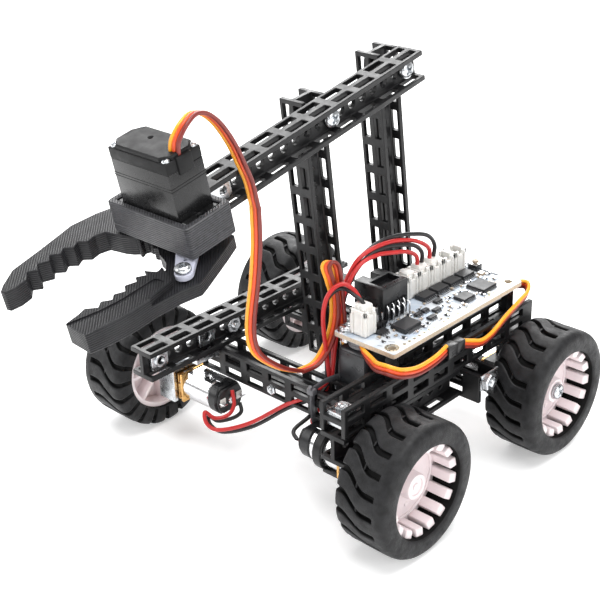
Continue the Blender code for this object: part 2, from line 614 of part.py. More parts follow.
# the near pin holds the jaw and its horn on the servo's output
jaw_pin("near_jaw_pin", -3.8, near_axis)
# the far jaw turns on a screw that goes up into the gripper body
jaw_pin("far_jaw_pin", -2.0, arm, (FAR_JAW_X, JAW_Y, 0))

# sheet bracket that joins the arm's web to the gripper body: (x, y) outline
ARM_BRACKET = [(1.1, -54.9), (8.6, -54.9), (8.6, -53.9), (2.1, -53.9), (2.1, -43.0), (1.1, -43.0)]
ARM_BRACKET_Z = 2.9       # half height
make("arm_end_bracket", prism(ARM_BRACKET, -ARM_BRACKET_Z, ARM_BRACKET_Z, "z"), ZINC, arm)

# ---------------------------------------- electronics, in chassis coordinates
BOARD_X0, BOARD_X1, BOARD_Y0, BOARD_Y1 = 46.7, 70.0, 39.5, 105.0
BOARD_Z0, BOARD_Z1 = 5.3, 6.9
BOARD_HOLES_X = (BOARD_X0 + 2.7, BOARD_X1 - 2.7)
BOARD_HOLES_Y = (BOARD_Y0 + 2.8, BOARD_Y1 - 2.8)
BOARD_HOLE_R = 1.3
PART_Z = BOARD_Z1 + GAP   # underside of the parts on the board

board = make("circuit_board",
             deck_box(BOARD_X0, BOARD_X1, BOARD_Y0, BOARD_Y1, BOARD_Z0, BOARD_Z1), BOARD)
cut(board, "circuit_board_holes", group([
    prism(circle(x - X_MID, y - Y_MID, BOARD_HOLE_R, 10),
          BOARD_Z0 + DECK - 2, BOARD_Z1 + DECK + 2, "z")
    for x in BOARD_HOLES_X for y in BOARD_HOLES_Y]))

# footprints: x0, x1, y0, y1
POWER_SOCKET = (51.2, 57.6, 41.4, 46.8)
MODULAR_SOCKET = (43.4, 55.4, 52.4, 64.6)
MODULAR_MOUTH = (41.0, 51.0, 54.2, 62.8)
MOTOR_SOCKETS = (45.6, 51.2, 69.4, 101.2)
BUTTON_BODY = (51.6, 55.0, 101.5, 104.7)
WELL_X0, WELL_X1 = 46.8, 50.0
WELL_Y0, WELL_L, WELL_PITCH = 70.6, 4.2, 6.3

make("power_socket", deck_box(*POWER_SOCKET, PART_Z, PART_Z + 8.3), SOCKET)
modular = make("modular_socket", deck_box(*MODULAR_SOCKET, PART_Z, PART_Z + 9.2), BLACK_SOCKET)
cut(modular, "modular_socket_mouth", deck_box(*MODULAR_MOUTH, PART_Z + 2.2, PART_Z + 7.4))
socket_row = make("motor_sockets", deck_box(*MOTOR_SOCKETS, PART_Z, PART_Z + 8.0), SOCKET)
cut(socket_row, "motor_sockets_wells", group([
    deck_box(WELL_X0, WELL_X1, WELL_Y0 + WELL_PITCH * k, WELL_Y0 + WELL_L + WELL_PITCH * k,
             PART_Z + 2.0, PART_Z + 12) for k in range(5)]))


def post(radius, z0, z1):
    """Profile of a plain cylinder."""
    return [(0, z0), (radius, z0), (radius, z1), (0, z1)]


# reset push button: a square body fixed on the board with the plunger above it
make("button_body", deck_box(*BUTTON_BODY, PART_Z, PART_Z + 1.9), BLACK_SOCKET)
turned("reset_button", post(1.1, PART_Z + 2.5, PART_Z + 3.5), 12, ZINC,
       loc=on_chassis(53.3, 103.1, 0))

# hexagonal standoffs from the near upper beam's web to the board
STANDOFF_R = 2.2
STANDOFF_Z0 = -BEAM_W / 2 + WEB_T / 2 + GAP
for place, y in zip(("front", "rear"), BOARD_HOLES_Y):
    make("standoff_near_" + place,
         revolve(post(STANDOFF_R, STANDOFF_Z0, BOARD_Z0 - GAP), 6, "z"), ZINC,
         loc=on_chassis(BOARD_HOLES_X[1], y, 0))

# battery pack beside the near beam, with a round rubber spacer up to the board
PACK = (46.8, 58.9, 40.2, 69.0)   # footprint
PACK_Z0, PACK_Z1 = -19.0, 1.6
pack = make("battery_pack", deck_box(*PACK, PACK_Z0, PACK_Z1), SLEEVE)
rounding = pack.modifiers.new("edge", "BEVEL")
rounding.width = 1.2 * MM
rounding.segments = 2
turned("pack_spacer", post(4.6, PACK_Z1 + GAP, BOARD_Z0 - GAP), 20, SPACER,
       loc=on_chassis(53.0, 45.6, 0))

# sheet brackets inside the side beams' front ends
make("far_beam_bracket", deck_box(1.1, 2.2, 2.5, 9.3, -7.9, -2.0), ZINC)
make("near_beam_bracket",
     deck_box(NEAR_BEAM_X - 3.1, NEAR_BEAM_X + 3.1, NEAR_BEAM_Y0 + 1.0, NEAR_BEAM_Y0 + 8.0,
              -3.6, -2.5), ZINC)

# line sensor bar under the rear cross beam: board, two posts, five down-looking eyes
SENSOR = (8.0, 56.0, 70.2, 79.0)   # footprint
SENSOR_Z0, SENSOR_Z1 = -38.6, -37.0
EYES_X = (14.0, 23.0, 32.0, 41.0, 50.0)
sensor = make("line_sensor", deck_box(*SENSOR, SENSOR_Z0, SENSOR_Z1), BOARD)
fuse(sensor, "line_sensor_posts", group([
    deck_box(x - 2.5, x + 2.5, 72.0, 77.0, SENSOR_Z1 - 0.4, CROSS_REAR_Z - BEAM_W / 2 - GAP)
    for x in (EYES_X[0], EYES_X[-1])]))
fuse(sensor, "line_sensor_eyes", group([
    deck_box(x - 2.2, x + 2.2, 72.6, 76.4, -40.2, SENSOR_Z0 + 0.4) for x in EYES_X]))
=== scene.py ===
"""A four-wheeled robot chassis with a parallel-link arm and a two-jaw gripper.

Shapes are drawn in millimetres in local frames and placed in metres. The chassis frame starts
at the front end of the far side rail, on the middle of its top: x runs to the near side, y to
the rear, z up. The arm's and the links' frames start at their pivots, and the arm's y runs to
the rear too, so the gripper lies at negative y.
"""
import bpy
import bmesh
import json
from contextlib import contextmanager
from math import pi, sin, cos, radians, hypot, atan2, sqrt
from mathutils import Vector, Matrix, geometry

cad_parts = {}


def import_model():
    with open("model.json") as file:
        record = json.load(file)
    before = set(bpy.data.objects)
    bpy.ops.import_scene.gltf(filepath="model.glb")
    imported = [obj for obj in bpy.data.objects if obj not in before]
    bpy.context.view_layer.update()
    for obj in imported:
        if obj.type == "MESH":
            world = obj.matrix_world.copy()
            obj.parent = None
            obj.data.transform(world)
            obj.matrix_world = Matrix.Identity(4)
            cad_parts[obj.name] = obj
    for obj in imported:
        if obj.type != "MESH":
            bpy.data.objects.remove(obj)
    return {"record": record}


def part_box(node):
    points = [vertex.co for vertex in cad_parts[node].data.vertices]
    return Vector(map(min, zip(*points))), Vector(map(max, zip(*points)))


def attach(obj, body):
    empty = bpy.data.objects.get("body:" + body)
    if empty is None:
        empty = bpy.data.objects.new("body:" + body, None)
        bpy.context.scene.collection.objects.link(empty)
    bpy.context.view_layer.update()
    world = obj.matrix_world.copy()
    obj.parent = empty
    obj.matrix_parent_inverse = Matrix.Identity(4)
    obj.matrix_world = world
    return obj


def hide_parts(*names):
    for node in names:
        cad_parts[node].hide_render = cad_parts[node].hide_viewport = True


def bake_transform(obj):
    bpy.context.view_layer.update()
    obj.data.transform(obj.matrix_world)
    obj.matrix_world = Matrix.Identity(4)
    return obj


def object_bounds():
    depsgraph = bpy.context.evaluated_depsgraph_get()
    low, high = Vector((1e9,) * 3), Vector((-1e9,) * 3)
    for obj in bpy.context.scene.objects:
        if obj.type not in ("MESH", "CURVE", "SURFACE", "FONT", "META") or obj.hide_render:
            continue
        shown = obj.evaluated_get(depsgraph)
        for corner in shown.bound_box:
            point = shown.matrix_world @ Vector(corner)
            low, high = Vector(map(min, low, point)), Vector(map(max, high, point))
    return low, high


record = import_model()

MM = 0.001


def scene_box():
    return [[float(value) for value in corner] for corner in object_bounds()]


cad_box = scene_box()

# ------------------------------------------------------------------ frames
X, Y, Z = (1, 0, 0), (0, 1, 0), (0, 0, 1)
FRONT, DOWN = (0, -1, 0), (0, 0, -1)


def basis(origin, x_axis, y_axis, z_axis, unit=1.0):
    """Matrix with the given axes, each scaled by unit."""
    matrix = Matrix.Identity(4)
    for column, axis in enumerate((x_axis, y_axis, z_axis)):
        for row in range(3):
            matrix[row][column] = axis[row] * unit
    for row in range(3):
        matrix[row][3] = origin[row]
    return matrix


def mm_frame(origin, *axes):
    """Frame with its origin in metres, for points in millimetres."""
    return basis(origin, *(Vector(axis).normalized() for axis in axes), unit=MM)


def move(x, y, z):
    return Matrix.Translation(Vector((x, y, z)))


def turn(angle, axis="Z"):
    return Matrix.Rotation(radians(angle), 4, axis)


rail_low, rail_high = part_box("far_side_beam")
ORIGIN = Vector(((rail_low[0] + rail_high[0]) / 2, rail_low[1], rail_high[2]))
joints = {joint["name"]: joint for joint in record["record"]["behaviour"]["joints"]}


def joint_at(name):
    return Vector(joints[name]["pos_m"])


def station(x, y, z):
    """Chassis point in millimetres to world metres."""
    return ORIGIN + Vector((x, y, z)) * MM


CHASSIS = mm_frame(ORIGIN, X, Y, Z)
ARM_UP = Vector(joints["grip"]["axis"]).normalized()
ARM_REAR = ARM_UP.cross(Vector(X))
ARM_TILT = atan2(-ARM_UP.y, ARM_UP.z)
top_pivot = joint_at("arm_level")
base_pivot = joint_at("lift")
ARM = mm_frame(top_pivot, X, ARM_REAR, ARM_UP)
BASE = mm_frame(Vector((top_pivot.x, base_pivot.y, base_pivot.z)), X, ARM_REAR, ARM_UP)
link_up = top_pivot - base_pivot
link_up.x = 0
link_up.normalize()
link_rear = link_up.cross(Vector(X))
FRONT_LINK = mm_frame(base_pivot, X, link_rear, link_up)
REAR_LINK = mm_frame(joint_at("rear_link_swing"), X, link_rear, link_up)
near_jaw_offset = joint_at("grip") - top_pivot
JAW_Y = near_jaw_offset.dot(ARM_REAR) / MM
NEAR_JAW = ARM @ move(near_jaw_offset.x / MM, JAW_Y, 0)
FAR_JAW = ARM @ move((joint_at("far_jaw_turn") - top_pivot).x / MM, JAW_Y, 0)


# --------------------------------------------------------------- materials
def set_inputs(tree, node, inputs):
    """Link each input given a socket, and set the others' values."""
    for key, value in inputs.items():
        if isinstance(value, bpy.types.NodeSocket):
            tree.links.new(value, node.inputs[key])
        else:
            node.inputs[key].default_value = value


class Shader:
    """A material with its principled node and short ways to add texture nodes."""

    def __init__(self, name):
        self.material = bpy.data.materials.new(name)
        self.material.use_nodes = True
        self.tree = self.material.node_tree
        self.coordinates = self.add("TexCoord", {}).outputs

    def add(self, kind, inputs, **settings):
        node = self.tree.nodes.new("ShaderNode" + kind)
        for key, value in settings.items():
            setattr(node, key, value)
        set_inputs(self.tree, node, inputs)
        return node

    def principled(self, inputs):
        set_inputs(self.tree, self.tree.nodes["Principled BSDF"], inputs)

    def noise(self, scale, vector=None, **inputs):
        source = vector or self.coordinates["Object"]
        return self.add("TexNoise", {"Vector": source, "Scale": scale, **inputs}).outputs["Fac"]

    def mapping(self, source, inputs, **settings):
        inputs = {"Vector": self.coordinates[source], **inputs}
        return self.add("Mapping", inputs, **settings).outputs["Vector"]

    def ramp(self, factor, *stops, interpolation="LINEAR"):
        node = self.add("ValToRGB", {"Fac": factor})
        node.color_ramp.interpolation = interpolation
        for element, (position, colour) in zip(node.color_ramp.elements, stops):
            element.position = position
            element.color = (*colour, 1)
        return node.outputs["Color"]

    def to_range(self, value, low, high, **inputs):
        inputs = {"Value": value, "To Min": low, "To Max": high, **inputs}
        return self.add("MapRange", inputs).outputs["Result"]

    def bump(self, height, strength, distance, **inputs):
        inputs = {"Height": height, "Strength": strength, "Distance": distance, **inputs}
        return self.add("Bump", inputs).outputs["Normal"]

    def math(self, operation, *operands):
        return self.add("Math", dict(enumerate(operands)), operation=operation).outputs[0]


def print_layers(shader, pitch):
    """Height of printed layers: level lines on the flanks, slanting lines on the tops."""
    tilt = {"Rotation": (-ARM_TILT, 0, 0)}
    point = shader.mapping("Object", tilt, vector_type="POINT")
    normal = shader.mapping("Normal", tilt, vector_type="NORMAL")
    position = shader.add("SeparateXYZ", {"Vector": point}).outputs
    facing = shader.add("SeparateXYZ", {"Vector": normal}).outputs
    wobble = shader.math("MULTIPLY", shader.noise(160), pitch * 0.35)

    def ridges(source, period):
        phase = shader.math("MULTIPLY", shader.math("ADD", source, wobble), 2 * pi / period)
        return shader.math("ABSOLUTE", shader.math("SINE", phase))

    flank = ridges(position["Z"], pitch * 2)
    top = ridges(shader.math("ADD", position["X"], position["Y"]), pitch * 3.2)
    is_top = shader.math("GREATER_THAN", shader.math("ABSOLUTE", facing["Z"]), 0.8)
    inputs = {"Factor": is_top, "A": flank, "B": top}
    return shader.add("Mix", inputs, data_type="FLOAT").outputs["Result"]


def surface(name, colour, rough, metal=0.0, mottle=0.12, mottle_scale=700.0, rough_var=0.1,
            rough_scale=350.0, grain=2600.0, bump=0.12, bump_depth=0.00004, specular=0.5,
            coat=0.0, subsurface=0.0, layers=None, streak=None):
    """Mottled colour, uneven roughness and a fine grain.

    streak is the noise scale of brushed or moulded streaks along x, y and z, and layers the
    pitch and depth of printed layers, in metres; the layers also paint shade into the colour,
    darker in their grooves and lighter on their ridges.
    """
    shader = Shader(name)
    dark = [max(0.0, channel * (1 - mottle)) for channel in colour]
    light = [min(1.0, channel * (1 + mottle)) for channel in colour]
    base = shader.ramp(shader.noise(mottle_scale, Detail=5), (0.32, dark), (0.7, light))
    patches = shader.noise(rough_scale, Detail=6, Roughness=0.6)
    roughness = shader.to_range(patches, max(0.02, rough - rough_var),
                                min(1.0, rough + rough_var), **{"From Min": 0.3, "From Max": 0.7})
    shader.principled({"Roughness": roughness, "Metallic": metal, "Specular IOR Level": specular,
                       "Coat Weight": coat, "Coat Roughness": 0.1})
    if subsurface:
        shader.principled({"Subsurface Weight": subsurface, "Subsurface Scale": 0.001,
                           "Subsurface Radius": (1.0, 0.8, 0.7)})
    normal = shader.bump(shader.noise(grain, Detail=4), bump, bump_depth)
    if streak:
        stretched = shader.mapping("Object", {"Scale": streak})
        streaks = shader.noise(1.0, stretched, Detail=3)
        normal = shader.bump(streaks, strength=0.25, distance=0.00003, Normal=normal)
    if layers:
        pitch, depth = layers
        height = print_layers(shader, pitch)
        normal = shader.bump(height, strength=1.0, distance=depth, Normal=normal)
        # painted shade and highlight: the colour is scaled from 0.62 in the grooves between
        # printed layers to 1.4 on their ridges
        shade = shader.to_range(height, 0.62, 1.4)
        scaled = shader.add("VectorMath", {0: base, "Scale": shade}, operation="SCALE")
        base = scaled.outputs["Vector"]
        shine = shader.to_range(height, specular * 0.7, specular * 1.2)
        shader.principled({"Specular IOR Level": shine})
    shader.principled({"Base Color": base, "Normal": normal})
    return shader.material


def wire(name, colour):
    return surface(name, colour=colour, rough=0.36, mottle=0.08, rough_var=0.09, mottle_scale=320,
                   rough_scale=500, grain=1500, bump=0.07, bump_depth=0.00003, subsurface=0.05)


def white_mask():
    """White solder mask over copper: pale blue patches and faint cell edges show through."""
    shader = Shader("white_mask")
    base = shader.ramp(shader.noise(130, Detail=2), (0.46, (0.63, 0.66, 0.69)),
                       (0.60, (0.50, 0.57, 0.66)), interpolation="EASE")
    cells = shader.add("TexVoronoi", {"Vector": shader.coordinates["Object"], "Scale": 420},
                       feature="DISTANCE_TO_EDGE")
    edges = shader.math("LESS_THAN", cells.outputs["Distance"], 0.12)
    shader.principled({"Base Color": base,
                       "Roughness": shader.to_range(shader.noise(900), 0.22, 0.42),
                       "Normal": shader.bump(edges, strength=0.3, distance=0.00004)})
    return shader.material


BEAM = surface("black_beam", colour=(0.0075, 0.0075, 0.0082), rough=0.40, mottle=0.3,
               rough_var=0.09, mottle_scale=260, rough_scale=300, bump=0.10, specular=0.36,
               streak=(160, 160, 160), bump_depth=0.00002)
PRINT = surface("printed_black", colour=(0.011, 0.011, 0.0125), rough=0.42, mottle=0.3, bump=0.2,
                specular=0.27, layers=(0.00062, 0.00012))
TRAY = surface("printed_tray", colour=(0.040, 0.040, 0.044), rough=0.44, mottle=0.3, bump=0.2,
               specular=0.42, layers=(0.00066, 0.00013))
LID = surface("servo_lid", colour=(0.0075, 0.0075, 0.008), rough=0.52, mottle=0.3, grain=4200,
              bump=0.3, bump_depth=0.00003, specular=0.22)
SERVO = surface("servo_case", colour=(0.0105, 0.0105, 0.011), rough=0.24, mottle=0.25,
                rough_var=0.07, grain=4200, bump=0.05, bump_depth=0.00001, specular=0.4)
RUBBER = surface("tyre_rubber", colour=(0.0105, 0.0105, 0.0115), rough=0.52, mottle=0.5,
                 rough_var=0.16, mottle_scale=420, grain=2400, bump=0.9, bump_depth=0.00009,
                 specular=0.27)
# painted shade: the tyre's rubber made darker, for the faces deep in the tread grooves
GROOVE_SHADE_RUBBER = surface("tyre_groove_painted_shade", colour=(0.0035, 0.0035, 0.0036), rough=0.6, mottle=0.3,
                 bump=0.2, specular=0.12)
# painted shade: the tyre's rubber made darker, for its bore where it sits round the hub
BORE_SHADE_RUBBER = surface("tyre_bore_painted_shade", colour=(0.004, 0.004, 0.004), rough=0.75, mottle=0.2,
                      bump=0.2, specular=0.15)
HUB = surface("hub_plastic", colour=(0.83, 0.74, 0.75), rough=0.42, mottle=0.03, rough_var=0.07,
              mottle_scale=240, grain=2400, bump=0.06, subsurface=0.08)
ZINC = surface("zinc_steel", colour=(0.60, 0.62, 0.64), rough=0.27, metal=1.0, mottle=0.14,
               rough_var=0.07, mottle_scale=420, rough_scale=380, grain=5200, bump=0.05,
               bump_depth=0.00001)
CAN = surface("motor_can", colour=(0.72, 0.72, 0.73), rough=0.2, metal=1.0, mottle=0.08,
              rough_var=0.07, mottle_scale=600, bump=0.06, streak=(3000, 200, 200),
              bump_depth=0.00001)
BRASS = surface("gear_brass", colour=(0.72, 0.42, 0.15), rough=0.28, metal=1.0, mottle=0.18,
                mottle_scale=900, bump=0.14, bump_depth=0.00002)
STEEL = surface("shaft_steel", colour=(0.58, 0.58, 0.6), rough=0.22, metal=1.0, mottle=0.08,
                rough_var=0.08, bump=0.06, streak=(200, 3000, 3000), bump_depth=0.00001)
NYLON = surface("socket_nylon", colour=(0.76, 0.745, 0.715), rough=0.42, mottle=0.03,
                rough_var=0.08, bump=0.08, subsurface=0.1)
BLACK_NYLON = surface("black_nylon", colour=(0.008, 0.008, 0.009), rough=0.32, mottle=0.25,
                      specular=0.42)
CHIP = surface("chip_epoxy", colour=(0.018, 0.018, 0.020), rough=0.45, mottle=0.15,
               rough_var=0.08, grain=9000, bump=0.3, bump_depth=0.00001)
# painted shade: the chips' tinned leads get a dark grey, darker than tin, standing for the shade
# between the leads on the white board
LEAD_SHADE_TIN = surface("chip_leads_painted_shade", colour=(0.30, 0.30, 0.31), rough=0.38, metal=0.9, mottle=0.2,
              grain=3000, bump=0.1)
TIN = surface("tinned_lead", colour=(0.75, 0.75, 0.76), rough=0.24, metal=1.0, bump=0.1,
              bump_depth=0.00001)
GOLD = surface("pad_gold", colour=(0.83, 0.72, 0.5), rough=0.3, metal=1.0, mottle=0.1,
               bump=0.08, bump_depth=0.00001)
CERAMIC = surface("tan_ceramic", colour=(0.38, 0.30, 0.22), rough=0.45, mottle=0.1,
                  rough_var=0.06, bump=0.08)
EDGE = surface("board_edge", colour=(0.60, 0.50, 0.38), rough=0.65, mottle=0.14, rough_var=0.08,
               mottle_scale=1600, bump=0.25)
TRACE = surface("board_trace", colour=(0.60, 0.69, 0.80), rough=0.34, mottle=0.05,
                rough_var=0.06, bump=0.05)
INK = surface("board_mark", colour=(0.07, 0.075, 0.085), rough=0.5, mottle=0.1, bump=0.1)
SLEEVE = surface("battery_sleeve", colour=(0.028, 0.030, 0.034), rough=0.34, mottle=0.25,
                 mottle_scale=160, grain=420, bump=0.35, bump_depth=0.00012)
GREY = surface("grey_rubber", colour=(0.19, 0.19, 0.2), rough=0.5, bump=0.15)
HORN = surface("horn_plastic", colour=(0.50, 0.51, 0.60), rough=0.36, mottle=0.03,
               rough_var=0.07, bump=0.06, subsurface=0.1)
LED = surface("white_led", colour=(0.9, 0.88, 0.7), rough=0.2, mottle=0.04, rough_var=0.05,
              bump=0.04, coat=0.5)
WIRE_RED = wire("wire_red", (0.50, 0.018, 0.018))
WIRE_BLACK = wire("wire_black", (0.012, 0.011, 0.012))
WIRE_YELLOW = wire("wire_yellow", (0.90, 0.38, 0.02))
WIRE_ORANGE = wire("wire_orange", (0.72, 0.075, 0.015))
WIRE_BROWN = wire("wire_brown", (0.20, 0.022, 0.016))
TIE = surface("cable_tie", colour=(0.10, 0.10, 0.11), rough=0.35, mottle=0.1, bump=0.1)
MASK = white_mask()


# ---------------------------------------------------------------- outlines
def polar(radius, angle, x=0.0, y=0.0):
    return x + radius * cos(angle), y + radius * sin(angle)


def circle(x, y, radius, count=20):
    return [polar(radius, 2 * pi * i / count, x, y) for i in range(count)]


def rounded(x0, x1, y0, y1, radius, steps=3):
    """Rectangle with rounded corners."""
    corners = ((x1 - radius, y1 - radius, 0), (x0 + radius, y1 - radius, 90),
               (x0 + radius, y0 + radius, 180), (x1 - radius, y0 + radius, 270))
    return [polar(radius, radians(start + 90 * i / steps), x, y)
            for x, y, start in corners for i in range(steps + 1)]


def wound(outline, sense):
    """Outline as a list, anticlockwise for sense 1 and clockwise for -1."""
    points = list(outline)
    area = 0.5 * sum(points[i - 1][0] * points[i][1] - points[i][0] * points[i - 1][1]
                     for i in range(len(points)))
    return points if area * sense > 0 else points[::-1]


def offset(outline, distance):
    """Outline shifted to its left: inwards when it runs anticlockwise."""
    shifted = []
    for i, (x, y) in enumerate(outline):
        before, after = outline[i - 1], outline[(i + 1) % len(outline)]
        in_x, in_y = x - before[0], y - before[1]
        out_x, out_y = after[0] - x, after[1] - y
        in_length = hypot(in_x, in_y) or 1e-9
        out_length = hypot(out_x, out_y) or 1e-9
        in_left = (-in_y / in_length, in_x / in_length)
        out_left = (-out_y / out_length, out_x / out_length)
        spread = max(0.4, 1 + in_left[0] * out_left[0] + in_left[1] * out_left[1])
        shifted.append((x + (in_left[0] + out_left[0]) * distance / spread,
                        y + (in_left[1] + out_left[1]) * distance / spread))
    return shifted


# ------------------------------------------- solids, as (vertices, faces)
def plate(outer, holes, z0, z1, bevel=0.15):
    """Flat plate with chamfered rims, its outline in x, y."""
    walls = [wound(outer, 1)] + [wound(hole, -1) for hole in holes]
    rims = [offset(outline, bevel) for outline in walls]
    verts, faces, starts = [], [], []
    for z, outlines in ((z0, rims), (z0 + bevel, walls), (z1 - bevel, walls), (z1, rims)):
        starts.append(len(verts))
        verts += [(x, y, z) for outline in outlines for x, y in outline]
    for triangle in geometry.tessellate_polygon([[Vector((x, y, 0)) for x, y in rim]
                                                 for rim in rims]):
        for start in (starts[0], starts[3]):
            faces.append(tuple(start + i for i in triangle))
    for lower, upper in zip(starts, starts[1:]):
        first = 0
        for outline in walls:
            count = len(outline)
            for i in range(count):
                here, there = first + i, first + (i + 1) % count
                faces.append((lower + here, lower + there, upper + there, upper + here))
            first += count
    return verts, faces


def lathe(profile, count=32):
    """Closed (radius, z) profile turned about z."""
    verts, rings = [], []
    for radius, z in profile:
        if radius < 1e-6:
            rings.append([len(verts)] * count)
            verts.append((0, 0, z))
        else:
            rings.append(list(range(len(verts), len(verts) + count)))
            verts += [(*point, z) for point in circle(0, 0, radius, count)]
    faces = []
    for k, ring in enumerate(rings):
        following = rings[(k + 1) % len(rings)]
        if ring[0] == ring[1] and following[0] == following[1]:
            continue
        for i in range(count):
            j = (i + 1) % count
            face = tuple(dict.fromkeys((ring[i], ring[j], following[j], following[i])))
            if len(face) > 2:
                faces.append(face)
    return verts, faces


def block(x0, x1, y0, y1, z0, z1, radius, segments):
    """Box with rounded edges."""
    mesh = bmesh.new()
    bmesh.ops.create_cube(mesh, size=1.0)
    for vert in mesh.verts:
        x, y, z = vert.co
        vert.co = Vector((x0 if x < 0 else x1, y0 if y < 0 else y1, z0 if z < 0 else z1))
    radius = min(radius, 0.45 * min(x1 - x0, y1 - y0, z1 - z0))
    bmesh.ops.bevel(mesh, geom=list(mesh.edges), offset=radius, segments=segments, profile=0.5,
                    affect="EDGES")
    mesh.verts.ensure_lookup_table()
    mesh.verts.index_update()
    verts = [tuple(vert.co) for vert in mesh.verts]
    faces = [tuple(vert.index for vert in face.verts) for face in mesh.faces]
    mesh.free()
    return verts, faces


def prism(start, end):
    """Solid between two matching rings of points."""
    count = len(start)
    sides = [(i, (i + 1) % count, count + (i + 1) % count, count + i) for i in range(count)]
    return start + end, [tuple(range(count)), tuple(range(count, 2 * count))] + sides


def spline(points, steps=6):
    """Smooth curve through the points."""
    knots = [Vector(point) for point in points]
    curve = []
    for i in range(len(knots) - 1):
        start, end = knots[i], knots[i + 1]
        before = knots[i - 1] if i else knots[0] * 2 - knots[1]
        after = knots[i + 2] if i + 2 < len(knots) else knots[-1] * 2 - knots[-2]
        for k in range(steps):
            t = k / steps
            curve.append(0.5 * ((2 * start) + (end - before) * t
                                + (2 * before - 5 * start + 4 * end - after) * t * t
                                + (3 * start - before - 3 * end + after) * t ** 3))
    curve.append(knots[-1])
    return curve


def tangent(path, i):
    return (path[min(len(path) - 1, i + 1)] - path[max(0, i - 1)]).normalized()


def square_to(vector, direction):
    """Unit vector square to the direction, as near as can be to the given vector."""
    return (vector - direction * vector.dot(direction)).normalized()


def sweep(path, radius, count=10, squash=1.0, up=None):
    """Round or flattened bar along a list of points, closed at both ends."""
    verts, faces = [], []
    start = (path[1] - path[0]).normalized()
    side = start.cross(up or Vector(Z if abs(start.z) < 0.9 else X)).normalized()
    for i, point in enumerate(path):
        along = tangent(path, i)
        side = square_to(side, along)
        other = along.cross(side)
        for k in range(count):
            angle = 2 * pi * k / count
            verts.append(tuple(point + side * (radius * cos(angle))
                               + other * (radius * squash * sin(angle))))
    last = (len(path) - 1) * count
    for row in range(0, last, count):
        for k in range(count):
            j = (k + 1) % count
            faces.append((row + k, row + j, row + count + j, row + count + k))
    faces.append(tuple(range(count))[::-1])
    faces.append(tuple(last + k for k in range(count)))
    return verts, faces


def tube(points, radius, count, steps):
    return sweep(spline(points, steps), radius, count)


def face_outwards(mesh):
    editable = bmesh.new()
    editable.from_mesh(mesh)
    bmesh.ops.recalc_face_normals(editable, faces=editable.faces)
    editable.to_mesh(mesh)
    editable.free()


def cut(solid, tool):
    """The solid with the tool taken out of it."""
    objects = []
    for verts, faces in (solid, tool):
        mesh = bpy.data.meshes.new("cutting")
        mesh.from_pydata(verts, [], faces)
        face_outwards(mesh)
        objects.append(bpy.data.objects.new("cutting", mesh))
        bpy.context.collection.objects.link(objects[-1])
    modifier = objects[0].modifiers.new("cut", "BOOLEAN")
    modifier.operation = "DIFFERENCE"
    modifier.solver = "EXACT"
    modifier.object = objects[1]
    bpy.context.view_layer.update()
    evaluated = objects[0].evaluated_get(bpy.context.evaluated_depsgraph_get())
    mesh = evaluated.to_mesh()
    verts = [tuple(vert.co) for vert in mesh.vertices]
    faces = [tuple(polygon.vertices) for polygon in mesh.polygons]
    evaluated.to_mesh_clear()
    for item in objects:
        mesh = item.data
        bpy.data.objects.remove(item, do_unlink=True)
        bpy.data.meshes.remove(mesh)
    return verts, faces


def recess_wedge(half_x, half_y, z0, z1):
    """Box that narrows downwards."""
    verts = []
    for z, scale in ((z0, 0.55), (z1, 1.15)):
        x, y = half_x * scale, half_y * scale
        verts += [(-x, -y, z), (x, -y, z), (x, y, z), (-x, y, z)]
    return verts, [(0, 3, 2, 1), (4, 5, 6, 7), (0, 1, 5, 4), (1, 2, 6, 5), (2, 3, 7, 6),
                   (3, 0, 4, 7)]


HEAD_RADIUS = 2.8


def pan_head(radius=HEAD_RADIUS, height=2.0):
    """Screw head on z = 0 with a cross recess in its domed top."""
    dome = ((0.96, 0), (1, 0.12), (1, 0.45), (0.93, 0.68), (0.75, 0.87), (0.45, 0.97))
    head = lathe([(0, 0)] + [(radius * r, height * z) for r, z in dome] + [(0, height)])
    long, wide = radius * 0.55, radius * 0.16
    for half_x, half_y in ((long, wide), (wide, long)):
        head = cut(head, recess_wedge(half_x, half_y, height * 0.35, height * 1.1))
    return head


HEAD = pan_head()


def hex_nut(radius, thickness, bore):
    corners = [polar(radius, radians(60 * i)) for i in range(6)]
    return plate(corners, [circle(0, 0, bore)], 0, thickness, 0.3)


def thread(radius, z0, z1):
    """Threaded end of a screw: shallow ridges."""
    profile = [(0, z0)]
    z = z0
    while z < z1:
        profile.append((radius if len(profile) % 2 == 0 else radius * 0.86, z))
        z += 0.25
    return lathe(profile + [(radius * 0.7, z1), (0, z1)], 16)


def facing(point, direction):
    """Frame at a point with its z along the direction, for heads and nuts."""
    z_axis = Vector(direction).normalized()
    x_axis = square_to(Vector(Z if abs(z_axis.z) < 0.9 else X), z_axis)
    return basis(point, x_axis, z_axis.cross(x_axis), z_axis)


